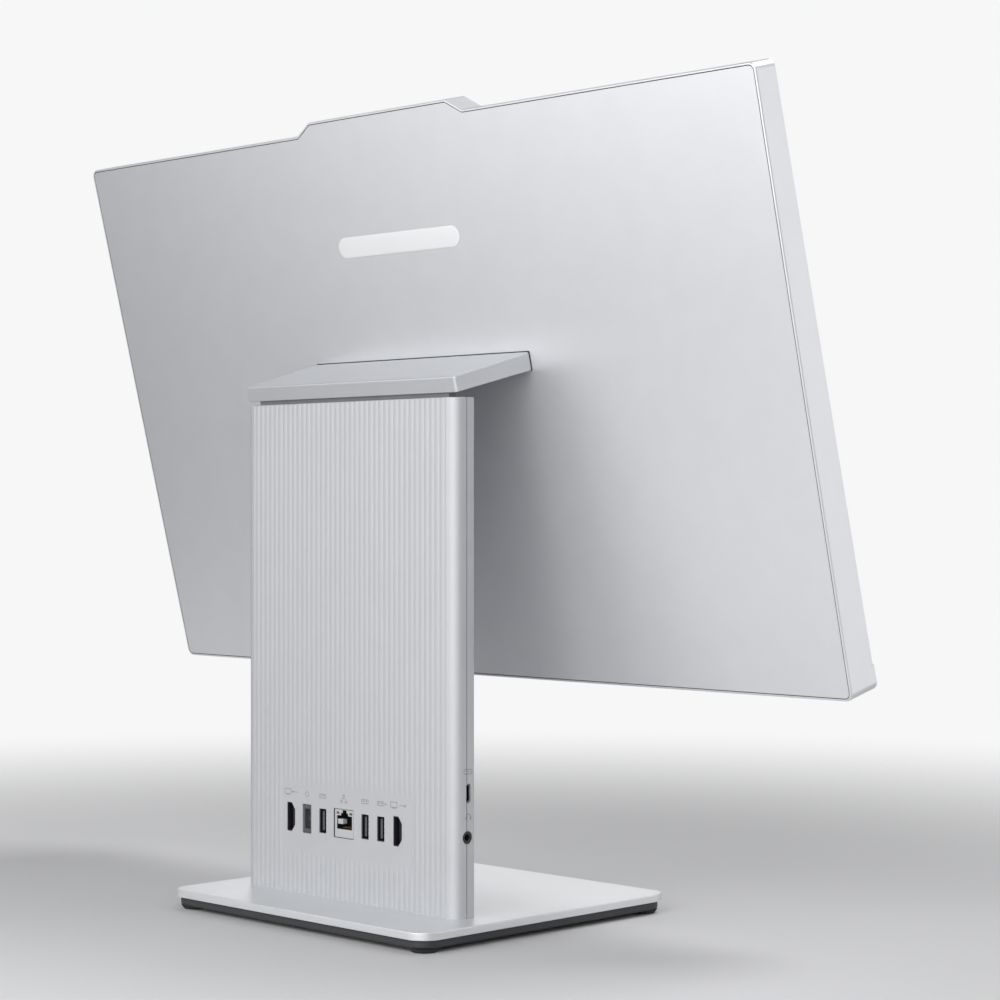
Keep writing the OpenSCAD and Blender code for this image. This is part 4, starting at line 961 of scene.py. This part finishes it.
def make_foot_skirt():
    """The dark tray under the plate."""
    low, high = box_along("foot_skirt", WORLD)
    wall, floor, edge, r = 2.5, 1.2, 1.6, FOOT_R - SKIRT_INSET
    top = high.z - 0.02
    rings = [foot_ring("foot_skirt", i, low.z + d, r) for i, d in quarter(edge, 5)]
    rings += [foot_ring("foot_skirt", 0, top, r), foot_ring("foot_skirt", wall, top, r)]
    rings += [foot_ring("foot_skirt", wall, low.z + floor, r)]
    piece = mesh_object("foot_skirt_tray", loft(rings))
    finish_piece(piece, "stand", MATERIALS["dark_plastic"], ["foot_skirt"])


def make_foot_pads():
    """Four round rubber pads, wider where they meet the skirt."""
    high = box_along("foot_pads", WORLD)[1]
    face_r, low_r, high_r = 6.0, 6.8, 8.2
    profile = [(face_r, 0.0), (face_r + 0.5, 0.1), (low_r, 0.45), (high_r, high.z)]
    pads = []
    for sx in (-1, 1):
        for sy in (-1, 1):
            centre = Vector((sx * (high.x - high_r), sy * (high.y - high_r)))
            rings = [[p.to_3d() + Vector((0, 0, z)) for p in circle_outline(centre, r)] for r, z in profile]
            pads.append(loft(rings))
    piece = mesh_object("foot_pad_set", joined(pads))
    finish_piece(piece, "stand", MATERIALS["rubber_pads"], ["foot_pads"])


make_foot_plate()
make_foot_skirt()
make_foot_pads()

# ---------- stage, light and camera, in metres ----------

FLOOR_HALF = 2.0
FLOOR_FULL, FLOOR_GONE = 0.35, 1.15    # the floor fades out between these distances from the machine
GLOW_LOW, GLOW_HIGH = 0.02, 0.32       # strength of the world's glow below the horizon and above it
GLOW_COLOUR = (0.97, 0.98, 1.0, 1)
SEEN_WHITE = (0.93, 0.93, 0.935, 1)
LIGHT_TARGET = Vector((0, 0, 0.25))
CAMERA_PLACE = (-1.005, 0.937, 0.2304)
CAMERA_AIM = (0.7079, -0.7063, 0.0017)
CAMERA_LENS, CAMERA_SENSOR = 87.1, 36.0    # millimetres


def make_floor():
    """A plain pale floor that fades into the white surroundings."""
    corners = [(x * FLOOR_HALF, y * FLOOR_HALF, 0) for x, y in ((-1, -1), (1, -1), (1, 1), (-1, 1))]
    mesh = bpy.data.meshes.new("floor")
    mesh.from_pydata(corners, [], [(0, 1, 2, 3)])
    floor = bpy.data.objects.new("floor", mesh)
    bpy.context.scene.collection.objects.link(floor)
    paper = surface("floor_paper", (0.58, 0.58, 0.585), 0.9, specular=0.1, grain=300.0, bump=0.02, tone=0.004,
                    blotch=3.0)
    nodes, links = paper.node_tree.nodes, paper.node_tree.links
    place = nodes.new("ShaderNodeTexCoord")
    distance = nodes.new("ShaderNodeVectorMath")
    distance.operation = "LENGTH"
    fade = nodes.new("ShaderNodeMapRange")
    fade.interpolation_type = "SMOOTHSTEP"
    fade.inputs["From Min"].default_value = FLOOR_FULL
    fade.inputs["From Max"].default_value = FLOOR_GONE
    fade.inputs["To Min"].default_value = 1.0
    fade.inputs["To Max"].default_value = 0.0
    links.new(place.outputs["Object"], distance.inputs[0])
    links.new(distance.outputs["Value"], fade.inputs["Value"])
    links.new(fade.outputs["Result"], nodes["Principled BSDF"].inputs["Alpha"])
    mesh.materials.append(paper)


def soft_light(name, azimuth, elevation, distance, size, power):
    """A square light aimed at the machine. Azimuth runs in degrees from straight behind it towards +X."""
    data = bpy.data.lights.new(name, "AREA")
    data.size = size
    data.energy = power
    lamp = bpy.data.objects.new(name, data)
    bpy.context.scene.collection.objects.link(lamp)
    turn, rise = math.radians(azimuth), math.radians(elevation)
    away = Vector((math.sin(turn) * math.cos(rise), math.cos(turn) * math.cos(rise), math.sin(rise)))
    lamp.location = LIGHT_TARGET + away * distance
    lamp.rotation_euler = (-away).to_track_quat("-Z", "Y").to_euler()
    lamp.visible_camera = False


def make_lights():
    """Three wide lights behind the machine, two in front on the -X side and a weak one on the +X side."""
    soft_light("near_left", -30, 12, 1.1, 1.1, 8.2)
    soft_light("near_middle", 0, 14, 1.1, 0.9, 4.4)
    soft_light("near_right", 30, 12, 1.1, 0.7, 2.2)
    soft_light("side_low", -135, 3, 2.0, 1.6, 9.0)
    soft_light("side_high", -140, 60, 2.0, 0.9, 20.0)
    soft_light("front_low", 135, 10, 2.0, 0.9, 3.0)


def make_world():
    """A dim glow from above on the machine, and plain white where the camera sees past the floor."""
    world = bpy.data.worlds.new("studio")
    world.use_nodes = True
    nodes, links = world.node_tree.nodes, world.node_tree.links
    place = nodes.new("ShaderNodeTexCoord")
    split = nodes.new("ShaderNodeSeparateXYZ")
    height = nodes.new("ShaderNodeMapRange")
    height.interpolation_type = "SMOOTHSTEP"
    height.inputs["From Min"].default_value = -0.1
    height.inputs["From Max"].default_value = 0.3
    height.inputs["To Min"].default_value = GLOW_LOW
    height.inputs["To Max"].default_value = GLOW_HIGH
    glow = nodes["Background"]
    glow.inputs["Color"].default_value = GLOW_COLOUR
    seen = nodes.new("ShaderNodeBackground")
    seen.inputs["Color"].default_value = SEEN_WHITE
    path = nodes.new("ShaderNodeLightPath")
    mix = nodes.new("ShaderNodeMixShader")
    links.new(place.outputs["Generated"], split.inputs["Vector"])
    links.new(split.outputs["Z"], height.inputs["Value"])
    links.new(height.outputs["Result"], glow.inputs["Strength"])
    links.new(path.outputs["Is Camera Ray"], mix.inputs["Fac"])
    links.new(glow.outputs["Background"], mix.inputs[1])
    links.new(seen.outputs["Background"], mix.inputs[2])
    links.new(mix.outputs["Shader"], nodes["World Output"].inputs["Surface"])
    bpy.context.scene.world = world


def make_camera():
    """A level camera behind the machine, on the -X side."""
    data = bpy.data.cameras.new("camera")
    data.lens = CAMERA_LENS
    data.sensor_width = CAMERA_SENSOR
    data.clip_end = 60.0
    camera = bpy.data.objects.new("camera", data)
    bpy.context.scene.collection.objects.link(camera)
    camera.location = CAMERA_PLACE
    camera.rotation_euler = Vector(CAMERA_AIM).to_track_quat("-Z", "Y").to_euler()
    bpy.context.scene.camera = camera


make_floor()
make_lights()
make_world()
make_camera()
bpy.context.scene.view_settings.view_transform = "Standard"
